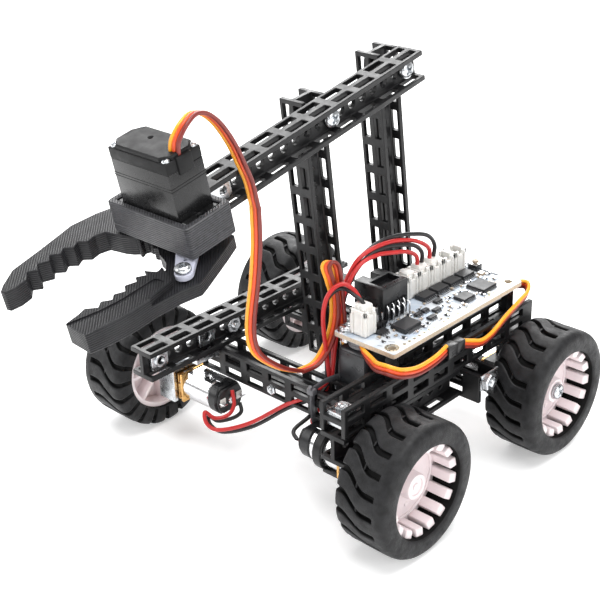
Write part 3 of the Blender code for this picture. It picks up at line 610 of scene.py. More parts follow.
class Part:
    """Solids gathered into one mesh. mat is a material index (or one for each face), and at a
    matrix or a plain shift."""

    def __init__(self):
        self.verts, self.faces, self.mats = [], [], []

    def add(self, solid, mat=0, at=None):
        verts, faces = solid
        first = len(self.verts)
        if isinstance(at, tuple):
            at = move(*at)
        self.verts += [tuple(at @ Vector(point)) for point in verts] if at else verts
        self.faces += [tuple(i + first for i in face) for face in faces]
        self.mats += mat if isinstance(mat, list) else [mat] * len(faces)

    def plate(self, *size, mat=0, at=None):
        self.add(plate(*size), mat, at)

    def lathe(self, *size, mat=0, at=None):
        self.add(lathe(*size), mat, at)

    def block(self, *size, mat=0, at=None):
        self.add(block(*size), mat, at)

    def screw(self, point, direction, radius, spin=0, mat=0):
        scale = radius / HEAD_RADIUS
        verts = [(x * scale, y * scale, z * scale) for x, y, z in HEAD[0]]
        self.add((verts, HEAD[1]), mat, facing(point, direction) @ turn(spin))

    def nut(self, point, direction, radius, thickness, proud, bolt=1.45, mat=0):
        """Nut with the bolt's end standing proud of it."""
        place = facing(point, direction) @ turn(10)
        self.add(hex_nut(radius, thickness, bolt), mat, place)
        self.add(thread(bolt, -0.5, thickness + proud), mat, place)


@contextmanager
def piece(name, slot, materials, frame, rider, *replaced, angle=32, blend=None):
    """Gather a part in the with block, then make it an object.

    rider is the body it moves with, replaced names the CAD pieces it stands for, and edges
    sharper than angle stay sharp.
    """
    part = Part()
    yield part
    mesh = bpy.data.meshes.new(name)
    mesh.from_pydata([tuple(frame @ Vector(point)) for point in part.verts], [], part.faces)
    for polygon, index in zip(mesh.polygons, part.mats):
        polygon.material_index = index
    face_outwards(mesh)
    for material in materials:
        mesh.materials.append(material)
    mesh.shade_smooth()
    mesh.set_sharp_from_angle(angle=radians(angle))
    made = bpy.data.objects.new(name, mesh)
    bpy.context.collection.objects.link(made)
    if rider:
        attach(made, rider)
    if replaced:
        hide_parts(*replaced)
    if blend:
        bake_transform(made)


# ------------------------------------------------------------------- rails
RAIL_WIDTH, RAIL_HEIGHT = 9.5, 9.9
RAIL_WALL = 1.6            # thickness of the flanges and of the web
HOLE_PITCH = 5.0
# directions of a rail's length, width and height
FLAT = (Y, (-1, 0, 0), Z)
EDGEWISE = (Y, Z, X)
CROSS = (X, Z, FRONT)
UPRIGHT = (Z, (-1, 0, 0), FRONT)


def rail_fillet(length, height, side_y, side_z, radius=0.55):
    """Moulding fillet between the web and a flange."""
    y0 = side_y * (RAIL_WALL / 2 - 0.02)
    z0 = side_z * (height / 2 - RAIL_WALL + 0.02)
    arc = [(y0 + side_y * radius * (1 - sin(radians(angle))),
            z0 - side_z * radius * (1 - cos(radians(angle)))) for angle in (22, 45, 68)]
    section = [(y0, z0), (y0 + side_y * radius, z0)] + arc + [(y0, z0 - side_z * radius)]
    return prism(*([(x, y, z) for y, z in section] for x in (0.25, length - 0.25)))


def rail(name, replaced, frame, origin, axes, length, first=5.0, rider="chassis",
         height=RAIL_HEIGHT, pivots=(), notch=None):
    """I-section rail: slotted flanges and a drilled web, wider holes at the pivots.

    first is the middle of the first slots, and notch the start, end and depth of a step in
    one flange edge.
    """
    half_width, half_height = RAIL_WIDTH / 2, height / 2
    slots = []
    x = first
    while x < length - 4.5:
        for side in (-1, 1):
            slots.append(rounded(x - 3.55, x + 3.55, side * 2.25 - 1.3, side * 2.25 + 1.3,
                                 0.28, 2))
        x += 2 * HOLE_PITCH
    if notch:
        start, end, depth = notch
        step = half_width - depth
        outline = [(0, -half_width), (length, -half_width), (length, half_width),
                   (end, half_width), (end, step), (start, step), (start, half_width),
                   (0, half_width)]
    else:
        outline = rounded(0, length, -half_width, half_width, 0.35, 2)
    holes = []
    x = first - HOLE_PITCH
    while x < length - 2.4:
        if x > 2.4:
            holes.append(circle(x, 0, (3.6 if x in pivots else 3.1) / 2, 18))
        x += HOLE_PITCH
    web_top = half_height - RAIL_WALL + 0.2
    web_bottom = -half_height + RAIL_WALL - 0.2
    web = [(0, web_bottom), (length, web_bottom), (length, web_top), (0, web_top)]
    with piece(name, "black_beam_plastic", [BEAM], frame @ basis(origin, *axes), rider,
               replaced, angle=28) as part:
        for z0 in (-half_height, half_height - RAIL_WALL):
            part.plate(outline, slots, z0, z0 + RAIL_WALL, 0.16)
        part.plate(web, holes, -RAIL_WALL / 2, RAIL_WALL / 2, 0.12, at=turn(90, "X"))
        for side_y in (-1, 1):
            for side_z in (-1, 1):
                part.add(rail_fillet(length, height, side_y, side_z))


rail("far_side_rail", "far_side_beam", CHASSIS, (0, 0, -4.95), FLAT, 91.5)
rail("near_upper_rail", "near_upper_beam", CHASSIS, (68.5, 13.8, -4.75), EDGEWISE, 94.2)
rail("near_lower_rail", "near_lower_beam", CHASSIS, (68.3, 13.8, -14.75), FLAT, 55.5)
rail("front_cross_rail", "front_cross_beam", CHASSIS, (-5, 34.65, -14.95), CROSS, 68.2)
rail("rear_cross_rail", "rear_cross_beam", CHASSIS, (-5, 74.4, -15.35), CROSS, 85.0,
     height=9.6, notch=(37.6, 47.9, 0.95))
rail("tower_base_rail", "tower_base_beam", BASE, (0, -3.5, 0), FLAT, 43.5, first=8.5)
rail("front_upright_rail", "front_upright", FRONT_LINK, (0, 0, -5), UPRIGHT, 90.0,
     rider="front_link", pivots=(5.0, 85.0))
rail("rear_upright_rail", "rear_upright", REAR_LINK, (0, 0, -5), UPRIGHT, 90.0,
     rider="rear_link", pivots=(5.0, 85.0))
rail("arm_rail", "arm_beam", ARM, (0, -55, 0), FLAT, 95.0, first=10.0, rider="arm")

# ------------------------------------------------------------ pivot screws
for place, frame, y, rider in (("front_top", ARM, 0, "arm"), ("rear_top", ARM, 35, "arm"),
                               ("front_base", BASE, 0, "chassis"),
                               ("rear_base", BASE, 35, "chassis")):
    with piece(place + "_pivot_bolt", "zinc_steel", [ZINC], frame, rider,
               place + "_pivot_screw") as part:
        part.screw((1.1, y, 0), X, HEAD_RADIUS, spin=35)
        across = move(0, y, 0) @ turn(90, "Y")
        # shank, spacer tube between the webs, washer and nut
        part.lathe([(0, -14.2), (1.25, -14.2), (1.5, -13.9), (1.5, 1.2), (0, 1.2)], 20, at=across)
        part.lathe([(1.55, -8.9), (2.55, -8.9), (2.7, -8.7), (2.7, -1.3), (2.55, -1.1),
                    (1.55, -1.1)], 28, at=across)
        part.lathe([(1.55, -11.55), (3.3, -11.55), (3.3, -11.1), (1.55, -11.1)], 28, at=across)
        part.add(hex_nut(3.0, 2.2, 1.5), at=facing((-11.55, y, 0), (-1, 0, 0)) @ turn(12))

# ------------------------------------------------------------------ wheels
# A wheel's frame starts on the tyre's inner face, its z pointing outwards from the car.
AXLE_Z = -25.4
FRONT_AXLE_Y, REAR_AXLE_Y = 27.1, 100.1
TRACK, TRACK_MIDDLE = 115.9, 26.85     # between the tyres' middles, and halfway between them
TYRE_WIDTH = 19.0
MOTOR_GAP = {1: 1.4, -1: 5.1}          # tyre to gearbox on the near (1) and far (-1) side
# name: side, axle y, turn in degrees
WHEELS = {"front_near": (1, FRONT_AXLE_Y, 5), "rear_near": (1, REAR_AXLE_Y, 12),
          "front_far": (-1, FRONT_AXLE_Y, 3), "rear_far": (-1, REAR_AXLE_Y, 9)}

TYRE_RADIUS, BEAD_RADIUS = 21.5, 14.95
GROOVES, GROOVE_DEPTH = 20, 1.35
# section round the tyre: radius, distance from the inner face
TYRE_SECTION = [
    (BEAD_RADIUS, 0.35), (15.6, 0.0), (17.6, 0.0), (19.4, 0.05), (20.5, 0.4), (21.15, 1.0),
    (21.45, 1.9), (TYRE_RADIUS, 3.0), *((TYRE_RADIUS, 4.0 + i) for i in range(10)),
    (TYRE_RADIUS, 14.2), (TYRE_RADIUS, 14.5), (TYRE_RADIUS, 14.85), (TYRE_RADIUS, 15.6),
    (21.46, 16.4), (21.3, 17.2), (20.95, 17.9), (20.4, 18.4), (19.6, 18.75), (18.6, 18.92),
    (17.4, TYRE_WIDTH), (16.2, TYRE_WIDTH), (15.35, 18.9), (BEAD_RADIUS + 0.02, 18.5),
    (14.9, 17.6), (14.9, 9.2), (14.9, 6.9), (BEAD_RADIUS, 2.0)]
# groove depth on each row of the section
ROW_DEPTHS = [0.0, 0.25, 0.5] + [GROOVE_DEPTH] * 15 + [GROOVE_DEPTH * 0.9, GROOVE_DEPTH * 0.35]
ROW_DEPTHS += [0.0] * (len(TYRE_SECTION) - len(ROW_DEPTHS))
TREAD_ROWS, INSIDE_ROW = 27, 31
# one land and groove round the tyre: fraction of the pitch, share of the groove's depth
GROOVE_STEPS = [(0.08 * i, 0.0) for i in range(8)] + [
    (0.635, 0.04), (0.665, 0.2), (0.69, 1.0), (0.76, 1.0), (0.84, 1.0), (0.92, 1.0),
    (0.945, 0.2), (0.975, 0.04)]


def groove_turn(distance):
    """How far a groove has turned round the tyre, that distance from the inner face."""
    t = max(0.0, min(1.0, (distance - 2.5) / 8.5))
    return 0.05 + 0.24 * (t * t * (3 - 2 * t)) + 0.012 * min(distance, 14.8) / 14.8


def add_tyre(part, side):
    columns = [(k, *step) for k in range(GROOVES) for step in GROOVE_STEPS]
    verts, faces, mats = [], [], []
    for row, ((radius, distance), row_depth) in enumerate(zip(TYRE_SECTION, ROW_DEPTHS)):
        twist = side * groove_turn(distance if row < TREAD_ROWS else 99)
        for k, fraction, share in columns:
            angle = 2 * pi * (k + fraction) / GROOVES + twist
            depth = share * row_depth
            # the land between two grooves is slightly crowned
            crown = 0.06 * sin(pi * min(1.0, fraction / 0.66)) if 5 <= row <= 20 else 0
            z = distance + 0.5 * depth if row in (1, 2, 3) else distance
            verts.append((*polar(radius - depth + crown, angle), z))
    count = len(columns)
    for row in range(len(TYRE_SECTION)):
        here, there = row * count, (row + 1) % len(TYRE_SECTION) * count
        for i, (_, _, share) in enumerate(columns):
            j = (i + 1) % count
            faces.append((here + i, here + j, there + j, there + i))
            # painted shade: faces deep in a groove take the darker groove rubber, and the bore's
            # faces the darker bore rubber
            shaded_groove_face = max(share, columns[j][2]) > 0.5 and 1 <= row <= 19
            mats.append(1 if row >= INSIDE_ROW else (2 if shaded_groove_face else 0))
    part.add((verts, faces), mats)
    # tie bars: a low rubber bridge in the middle of each groove
    for k in range(GROOVES):
        middle = 7.6 if k % 2 else 8.4
        angle = 2 * pi * (k + 0.805) / GROOVES + side * groove_turn(middle)
        part.block(TYRE_RADIUS - GROOVE_DEPTH - 0.4, TYRE_RADIUS - 0.55, -0.9, 0.9, -0.3, 0.3,
                   0.08, 1, at=turn(angle * 180 / pi) @ move(0, 0, middle))


def add_hub(part):
    rim = 14.86
    part.lathe([(1.85, 1.6), (3.9, 1.6), (4.2, 2.0), (4.5, 6.2), (5.2, 7.0), (14.6, 7.0),
                (rim, 7.3), (rim, 9.1), (14.6, 9.4), (5.0, 9.4), (4.4, 9.8), (4.2, 13.6),
                (3.9, 14.0), (2.9, 14.0), (2.7, 13.5), (1.2, 13.5), (1.1, 13.9), (0, 13.9),
                (0, 12.6), (1.85, 12.6)], 48)
    # fins round the outside of the disc, their tops sloping down inwards
    verts, faces = block(12.3, rim, -1.62, 1.62, 8.9, 17.3, 0.42, 3)
    sloped = [(x, y, z - 0.55 * (13.6 - x) / 1.3 if z > 16.2 and x < 13.6 else z)
              for x, y, z in verts]
    for k in range(16):
        part.add((sloped, faces), at=turn(360 * (k + 0.35) / 16))
    # low ring at the feet of the fins, three gate marks, ribs and ring behind the disc
    part.lathe([(11.6, 9.2), (12.5, 9.2), (12.5, 9.75), (12.3, 9.9), (11.8, 9.9), (11.6, 9.75)],
               64)
    for k in range(3):
        part.lathe([(0, 9.3), (0.9, 9.3), (0.9, 9.6), (0.75, 9.7), (0, 9.7)], 16,
                   at=turn(120 * k + 30) @ move(8.4, 0, 0))
    for k in range(8):
        part.block(4.0, 14.6, -0.6, 0.6, 2.4, 7.3, 0.25, 2, at=turn(360 * k / 8))
    part.lathe([(13.4, 1.2), (rim, 1.2), (rim, 7.4), (13.9, 7.4), (13.4, 6.9)], 64)


def inboard_x(side, gap=0.0):
    """Chassis x of the tyre's inner face, or of a plane that gap inside it."""
    return TRACK_MIDDLE + side * (TRACK / 2 - TYRE_WIDTH / 2 - gap)


def wheel(key, side, axle_y, angle):
    frame = mm_frame(station(inboard_x(side), axle_y, AXLE_Z), Y, Z, (side, 0, 0)) @ turn(angle)
    rider = "wheel_" + key
    with piece("tyre_body_" + key, "tyre_rubber", [RUBBER, BORE_SHADE_RUBBER, GROOVE_SHADE_RUBBER], frame, rider,
               "tyre_" + key, angle=40) as part:
        add_tyre(part, side)
    with piece("hub_body_" + key, "white_hub_plastic", [HUB], frame, rider, "hub_" + key,
               angle=35) as part:
        add_hub(part)
    # shaft with one flat
    with piece("axle_" + key, "shaft_steel", [STEEL], frame, rider, "shaft_" + key) as part:
        section = [polar(1.48, radians(-130 + 13 * i)) for i in range(21)]
        part.plate(section, [], -MOTOR_GAP[side] - 4.0, 12.0)
    if key != "front_near":
        with piece("hub_screw_" + key, "zinc_steel", [ZINC], frame, rider) as part:
            part.screw((0, 0, 14.05), Z, 2.66, spin=25)
            part.lathe([(0, 12.3), (1.2, 12.3), (1.2, 14.3), (0, 14.3)], 16)


for key, (side, axle_y, angle) in WHEELS.items():
    wheel(key, side, axle_y, angle)

# ------------------------------------------------------------- gear motors
# A motor's frame starts on the gearbox's outer face, its z pointing into the car.
# gears: x, y, outer radius, teeth, z start, z end, material (0 brass, 1 steel)
GEARS = ((0, 0, 3.9, 22, 1.3, 2.9, 1), (0, 0, 2.1, 12, 2.8, 3.4, 1),
         (3.2, 1.2, 2.2, 12, 1.5, 4.2, 0), (3.2, 1.2, 3.0, 20, 3.5, 4.6, 0),
         (-1.6, -1.2, 3.3, 22, 4.9, 5.9, 0), (1.8, 1.0, 3.4, 22, 6.2, 7.1, 1),
         (0, 0, 1.2, 10, 4.6, 7.3, 0))


def toothed(radius, teeth, depth=0.5):
    root = radius - depth
    tooth = ((0.0, root), (0.22, root), (0.38, radius), (0.66, radius), (0.82, root))
    return [polar(r, 2 * pi * (k + share) / teeth) for k in range(teeth) for share, r in tooth]


def can_outline(radius, half_height, steps=9):
    """Circle cut flat above and below."""
    corner = atan2(half_height, sqrt(radius * radius - half_height * half_height))
    right = [polar(radius, -corner + 2 * corner * i / steps) for i in range(steps + 1)]
    return right + [(-x, -y) for x, y in right]


def gear_motor(key, side, axle_y):
    face_x = inboard_x(side, MOTOR_GAP[side])
    frame = mm_frame(station(face_x, axle_y, AXLE_Z), Y, Z, (-side, 0, 0))
    with piece("gear_train_" + key, "gearbox_brass", [BRASS, STEEL], frame, "chassis",
               "gearbox_" + key) as part:
        end_plate = rounded(-6, 6, -5, 5, 0.7)
        part.plate(end_plate, [circle(0, 0, 1.8, 16)], 0.0, 1.0, 0.12)
        part.plate(end_plate, [], 7.5, 8.5, 0.12)
        part.plate(rounded(-6.3, 6.3, -5.3, 5.3, 0.5), [can_outline(6.05, 5.05)], 9.6, 10.5,
                   0.12)
        for x in (-6.3, 5.4):
            part.block(x, x + 0.9, -1.6, 1.6, 8.2, 10.0, 0.2, 1)
        for x, y in ((-4.9, 3.9), (4.9, -3.9), (-4.9, -3.9)):
            part.lathe([(0, 0.5), (0.95, 0.5), (0.95, 7.8), (0, 7.8)], 12, at=(x, y, 0))
        for x, y, radius, teeth, z0, z1, mat in GEARS:
            part.plate(toothed(radius, teeth), [], z0, z1, 0.06, mat=mat, at=(x, y, 0))
        part.lathe([(0, 0.8), (1.9, 0.8), (1.9, 1.4), (0, 1.4)], 16, mat=1)
        for x in (4.3, -4.3):
            part.screw((x, 3.4, 0.0), DOWN, 1.176, mat=1)
    with piece("motor_can_" + key, "motor_can_steel", [CAN, BLACK_NYLON, TIN, NYLON], frame,
               "chassis", "motor_" + key) as part:
        part.plate(can_outline(6.0, 5.0), [], 8.75, 22.3, 0.35)
        part.plate(can_outline(6.0, 5.0), [], 8.55, 8.9, 0.1)
        part.plate(can_outline(6.1, 5.08), [], 22.35, 26.4, 0.5, mat=1)
        part.plate(can_outline(5.5, 4.4), [], 26.3, 27.4, 0.35, mat=1)
        part.lathe([(0, 26.8), (1.5, 26.8), (1.5, 28.0), (1.2, 28.2), (0.6, 28.2), (0.6, 27.8),
                    (0, 27.8)], 20)
        for s in (-1, 1):
            # terminal, its foot and the crimped ear of the can that holds the cap
            part.block(s * 4.2 - 0.9, s * 4.2 + 0.9, -0.25, 0.25, 26.9, 29.4, 0.1, 1, mat=2)
            part.block(s * 3.6 - 1.2, s * 3.6 + 1.2, -1.4, 1.4, 27.2, 27.7, 0.15, 1, mat=3)
            part.block(-0.8, 0.8, s * 5.0 - 0.15, s * 5.0 + 0.15, 21.6, 23.6, 0.1, 1)


for key, (side, axle_y, _) in WHEELS.items():
    gear_motor(key, side, axle_y)

# Straps that hang the motors from the rails. A strap's frame starts on the axle: x runs to
# the rear, y up, and z to the near side with chassis x as its value.
STRAP_INNER, STRAP_WALL = 6.4, 1.5
STRAP_OUTER = STRAP_INNER + STRAP_WALL
STRAP_HALF_HEIGHT = 5.36
STRAP_CLEARANCE = 0.3                  # left under the rail


def closed_strap(top):
    """Hoop open below, joined by a narrow stem to a top flange."""
    o, i, h = STRAP_OUTER, STRAP_INNER, STRAP_HALF_HEIGHT
    roof, under = h + 1.6, top - 1.6
    return [(-o, top), (o, top), (o, under), (1.3, under), (1.3, roof), (o, roof), (o, -h),
            (i, -h), (i, h), (-i, h), (-i, -h), (-o, -h), (-o, roof), (-1.3, roof),
            (-1.3, under), (-o, under)]


def cradle_strap(top):
    """Hoop open above, with a foot turned out at the top of each leg."""
    o, i, h = STRAP_OUTER, STRAP_INNER, STRAP_HALF_HEIGHT
    foot, under = o + 2.4, top - 1.4
    return [(-foot, top), (-foot, under), (-o, under), (-o, -h - STRAP_WALL),
            (o, -h - STRAP_WALL), (o, under), (foot, under), (foot, top), (i, top), (i, -h),
            (-i, -h), (-i, top)]


def motor_strap(key, side, axle_y):
    face_x = inboard_x(side, MOTOR_GAP[side])
    z0, z1 = sorted((face_x - side * 0.35, face_x - side * 8.15))
    middle = (z0 + z1) / 2

    def strap_nut(x, y):
        part.nut((x, y, middle), FRONT, 1.9, 1.4, 0.5, bolt=0.95, mat=1)

    with piece("motor_strap_" + key, "black_beam_plastic",
               [ZINC if key == "front_far" else BEAM, ZINC],
               mm_frame(station(0, axle_y, AXLE_Z), Y, Z, X), "chassis",
               "motor_bracket_" + key) as part:
        if key == "front_near":
            top = -AXLE_Z - 14.75 - RAIL_HEIGHT / 2 - STRAP_CLEARANCE
            part.plate(cradle_strap(top), [], z0, z1, 0.25)
            part.plate(can_outline(7.4, 6.4), [can_outline(6.15, 5.15)], face_x - 19.8,
                       face_x - 16.6, 0.2)
            part.block(-4.6, 4.6, -6.9, -5.25, face_x - 18.0, face_x - 7.5, 0.3, 2)
            for s in (-1, 1):
                strap_nut((STRAP_OUTER + 1.0) * s, top - 1.45)
        elif key == "rear_near":
            top = -AXLE_Z - RAIL_WIDTH - STRAP_CLEARANCE
            part.plate(closed_strap(top), [], z0, z1, 0.25)
            for s in (-1, 1):
                strap_nut(s * 4.8, top - 1.65)
        else:
            top = -AXLE_Z - RAIL_HEIGHT - STRAP_CLEARANCE
            x0, x1, tab_end = (-7.9, 2.2, 4.5) if key == "front_far" else (-18.0, 0.0, 2.0)
            part.plate(closed_strap(top), [], z0, z1, 0.25)
            part.block(x0, x1, top - 1.75, top - 0.02, z0 + 1.0, tab_end, 0.25, 2)
            strap_nut(-4.8, top - 1.75)


for key, (side, axle_y, _) in WHEELS.items():
    motor_strap(key, side, axle_y)

# ----------------------------------------------------------------- gripper
EAR_X = 12.7                           # screws in the servo's ears
SERVO_GEAR_X = 5.5

with piece("gripper_tray", "printed_black_plastic", [TRAY], ARM, "arm", "gripper_body") as part:
    outline = rounded(-16, 16, -71.7, -55.4, 1.1, 4)
    part.plate(outline, [rounded(-14.2, 14.2, -69.8, -57.3, 0.6)], -1.2, 5.8, 0.3)
    part.plate(outline, [circle(SERVO_GEAR_X, JAW_Y, 4.2, 28), circle(-14.5, JAW_Y, 1.25, 16)],
               -3.7, -0.9, 0.3)
    # inner ledge that carries the servo's ears, open round the case
    part.plate(rounded(-14.5, 14.5, -70.1, -57.0, 0.6),
               [rounded(-11.7, 11.7, -69.75, -57.25, 0.4, 2)], -1.0, 3.6, 0.2)

with piece("servo_shell", "servo_case_plastic", [SERVO, ZINC], ARM, "arm",
           "gripper_servo") as part:
    part.block(-11.4, 11.4, -69.7, -57.5, -0.5, 19.12, 0.35, 2)
    part.plate(rounded(-13.9, 13.9, -69.5, -57.7, 0.7),
               [circle(-EAR_X, JAW_Y, 1.0, 14), circle(EAR_X, JAW_Y, 1.0, 14)], 3.75, 5.1, 0.2)
    for x in (-EAR_X, EAR_X):
        for y in (-69.4, -61.8):
            part.block(x - 0.9, x + 0.9, y, y + 4.0, 5.0, 5.35, 0.15, 1)
    part.lathe([(0, -3.3), (2.9, -3.3), (3.3, -3.0), (3.6, -2.4), (3.6, 0.5), (0, 0.5)],
               at=(SERVO_GEAR_X, JAW_Y, 0))
    part.lathe([(0, -0.9), (2.6, -0.9), (2.9, -0.6), (2.9, 0.5), (0, 0.5)], 24,
               at=(-1.6, JAW_Y, 0))
    for x in (-EAR_X, EAR_X):
        part.lathe([(0, 3.0), (0.75, 3.0), (0.75, 4.4), (0, 4.4)], 12, mat=1, at=(x, JAW_Y, 0))

with piece("servo_cover", "servo_case_plastic", [LID, ZINC], ARM, "arm", "servo_lid") as part:
    part.block(-11.4, 11.4, -69.7, -57.5, 19.02, 22.3, 0.3, 2)
    # plateau with cut corners, the screws down in the corners
    plateau = [(-11.1, -61.2), (-8.6, -57.9), (8.6, -57.9), (11.1, -60.6), (11.1, -66.9),
               (8.7, -69.4), (-8.3, -69.4), (-11.1, -66.6)]
    part.plate(plateau, [circle(-2.2, -62.2, 0.5, 10)], 21.6, 23.5, 0.4)
    for x, y in ((-10.0, -58.9), (10.0, -58.9), (10.0, -68.3), (-10.0, -68.3)):
        part.screw((x, y, 22.25), Z, 1.12, spin=30, mat=1)
    # cable clamp in the near wall and moulded ribs round the case
    part.block(10.6, 12.0, -66.2, -61.0, 17.6, 22.6, 0.4, 2)
    for z in (14.2, 15.0):
        part.block(-11.5, 11.5, -69.8, -57.4, z - 0.12, z + 0.12, 0.1, 1)

# Jaw outlines about the pivot: distance away from the other jaw, distance forwards.
NEAR_OUTER = [(7.8, -9.0), (10.5, -2.7), (15.2, 9.3), (16.1, 11.9), (14.1, 17.4), (12.8, 24.9),
              (12.5, 31.0), (12.1, 35.0), (10.7, 40.5), (9.4, 44.3), (1.0, 43.8), (0.7, 39.4)]
NEAR_TEETH = [(0.1, 36.9), (3.0, 34.7), (1.4, 32.7), (3.6, 30.5), (2.0, 28.8), (3.7, 26.2),
              (1.5, 24.6), (3.1, 21.6), (1.1, 20.5), (3.2, 18.1), (0.9, 17.2), (4.5, 15.8),
              (3.5, 12.6), (1.0, 10.0)]
FAR_OUTER = [(7.8, -8.4), (12.0, -3.0), (14.8, 4.0), (16.4, 12.1), (15.6, 16.5), (14.2, 25.0),
             (12.8, 35.5), (9.0, 41.4), (7.0, 43.6), (5.4, 43.3), (4.6, 40.0)]
FAR_TEETH = [(5.0, 36.4), (8.0, 33.9), (5.8, 31.9), (8.7, 29.9), (6.8, 27.2), (9.2, 25.3),
             (6.6, 23.4), (8.4, 21.0), (5.9, 19.4), (7.3, 16.9), (4.8, 15.4), (5.3, 12.4),
             (4.0, 9.6)]
# lowered area of the near jaw's top round the pivot
NEAR_LOW = [(-16, -14), (22, -14), (22, 26.0), (12.0, 25.5), (11.3, 16.7), (4.8, 14.0),
            (3.0, 13.2), (-3, 12), (-16, 12)]
# channel in the near jaw's top, in its own frame with y to the rear
NEAR_CHANNEL = [(6.5, -18.3), (5.8, -29.7), (4.6, -35.3), (0.4, -46.5), (9.0, -46.5),
                (10.2, -41.5), (11.0, -34.4), (10.9, -24.9), (10.2, -18.0)]
# one half of a gear tooth: radius, degrees from its middle
JAW_TOOTH = ((8.95, 5.9), (9.4, 4.2), (10.1, 2.9), (10.45, 1.5))
JAW_ROOT = 8.9


def round_corners(points, size, steps=2):
    smooth = []
    for i, point in enumerate(points):
        corner = Vector(point)
        before = Vector(points[i - 1]) - corner
        after = Vector(points[(i + 1) % len(points)]) - corner
        reach = min(size, before.length * 0.35, after.length * 0.35)
        before.normalize()
        after.normalize()
        start, end = corner + before * reach, corner + after * reach
        for k in range(steps + 1):
            t = k / steps
            on_arc = start * (1 - t) ** 2 + corner * 2 * t * (1 - t) + end * t * t
            smooth.append((on_arc.x, on_arc.y))
    return smooth


def jaw_outline(outer, teeth, phase):
    """Finger outline closed by the gear teeth that mesh with the other jaw."""
    tooth = JAW_TOOTH + tuple((radius, -angle) for radius, angle in JAW_TOOTH[::-1])
    gear = [(JAW_ROOT, 80), (JAW_ROOT, 63)]
    for k in range(4, -5, -1):
        middle = k * 18.0 + phase
        if -62 <= middle <= 46:
            gear += [(radius, middle + angle) for radius, angle in tooth]
    gear += [(JAW_ROOT, -75), (JAW_ROOT, -92), (JAW_ROOT, -108)]
    return outer + teeth + [(-radius * cos(radians(angle)), radius * sin(radians(angle)))
                            for radius, angle in gear]


def jaw(name, frame, side, phase, outer, teeth):
    outline = round_corners(jaw_outline(outer, teeth, phase), 0.35)
    solid = plate([(side * x, -y) for x, y in outline], [circle(0, 0, 1.35, 16)],
                  -10.3, -4.1, 0.3)
    if name == "near_jaw":
        solid = cut(solid, plate([(x, -y) for x, y in NEAR_LOW], [], -6.3, -2.0, 0.01))
        solid = cut(solid, plate(round_corners(NEAR_CHANNEL, 0.8), [], -4.4, -2.0, 0.01))
        solid = cut(solid, plate(circle(10.9, -12.3, 1.3, 14), [], -14.0, -3.0, 0.01))
    with piece(name + "_print", "printed_black_plastic", [PRINT], frame, name, name,
               angle=25) as part:
        part.add(solid)


jaw("near_jaw", NEAR_JAW, 1, 0.0, NEAR_OUTER, NEAR_TEETH)
jaw("far_jaw", FAR_JAW, -1, 9.0, FAR_OUTER, FAR_TEETH)

HORN_X, HORN_Y = 10.9, 12.3            # the horn's end screw, near and forwards of the pivot
with piece("horn_arm", "white_horn_plastic", [HORN], NEAR_JAW, "near_jaw",
           "servo_horn") as part:
    heading = atan2(HORN_Y, HORN_X)
    outline = [polar(3.4, heading + pi / 2 + pi * i / 12) for i in range(13)]
    outline += [polar(2.5, heading - pi / 2 + pi * i / 12, HORN_X, HORN_Y) for i in range(13)]
    holes = [circle(HORN_X, -HORN_Y, 1.25, 14), circle(0, 0, 1.3, 16)]
    holes += [circle(HORN_X * share, -HORN_Y * share, 0.55, 12) for share in (0.34, 0.5, 0.66)]
    part.plate([(x, -y) for x, y in outline], holes, -6.0, -4.1, 0.3)
with piece("horn_screw_steel", "zinc_steel", [ZINC], NEAR_JAW, "near_jaw",
           "horn_screw") as part:
    part.screw((HORN_X, -HORN_Y, -3.8), Z, 2.24, spin=15)
    part.lathe([(0, -9.6), (1.0, -9.6), (1.0, -3.7), (0, -3.7)], 16, at=(HORN_X, -HORN_Y, 0))
for name, frame, rider, top in (("near_jaw", NEAR_JAW, "near_jaw", -3.8),
                                ("far_jaw", FAR_JAW, "arm", -2.0)):
    with piece(name + "_screw", "zinc_steel", [ZINC], frame, rider, name + "_pin") as part:
        part.screw((0, 0, -10.6), DOWN, 2.6)
        part.lathe([(0, -10.7), (1.0, -10.7), (1.0, top), (0, top)], 16)

# bracket from the arm's web to the tray
UPRIGHT_SHEET = basis((0, 0, 0), Y, Z, X)   # a plate outline's x, y become y, z
with piece("arm_end_angle", "zinc_steel", [ZINC], ARM, "arm", "arm_end_bracket") as part:
    part.plate(rounded(-53.9, -43.0, -2.9, 2.9, 0.7), [circle(-46.0, 0, 1.3, 16)], 1.1, 2.05,
               at=UPRIGHT_SHEET)
    part.block(1.1, 8.6, -54.9, -53.95, -2.9, 2.9, 0.2, 2)
    part.screw((6.0, -53.95, 0), Y, 1.7, spin=20)

# ------------------------------------------------------------- electronics
BOARD_HOLES = ((49.4, 42.3), (67.3, 42.3), (67.3, 102.2), (49.4, 102.2))
FOOT_Z = 6.95                          # feet of the parts on the board
# the hole material is dark ink, painted shade for the bore of each plated hole
BLUE, GOLD_PAD, HOLE_SHADE, MARK = 2, 3, 4, 5     # materials of the board
VIAS = ((58.4, 60.6), (59.9, 62.4), (61.4, 61.2), (57.0, 69.2), (58.6, 79.4), (59.8, 87.5),
        (64.9, 76.3), (62.2, 98.9), (65.8, 99.8), (63.5, 68.7), (66.3, 71.0), (57.0, 91.5))
# short printed marks: x, y of the start and of the end
MARKS = ((58.0, 57.6, 58.0, 53.2), (66.6, 57.6, 66.6, 53.2), (57.6, 97.0, 57.6, 93.6),
         (56.6, 46.2, 58.4, 46.2), (62.2, 60.6, 65.0, 60.6), (67.6, 84.0, 67.6, 80.4),
         (60.0, 78.6, 62.6, 78.6), (64.0, 44.6, 65.6, 45.6), (63.0, 40.7, 64.4, 41.3),
         (69.2, 99.0, 69.2, 96.8))


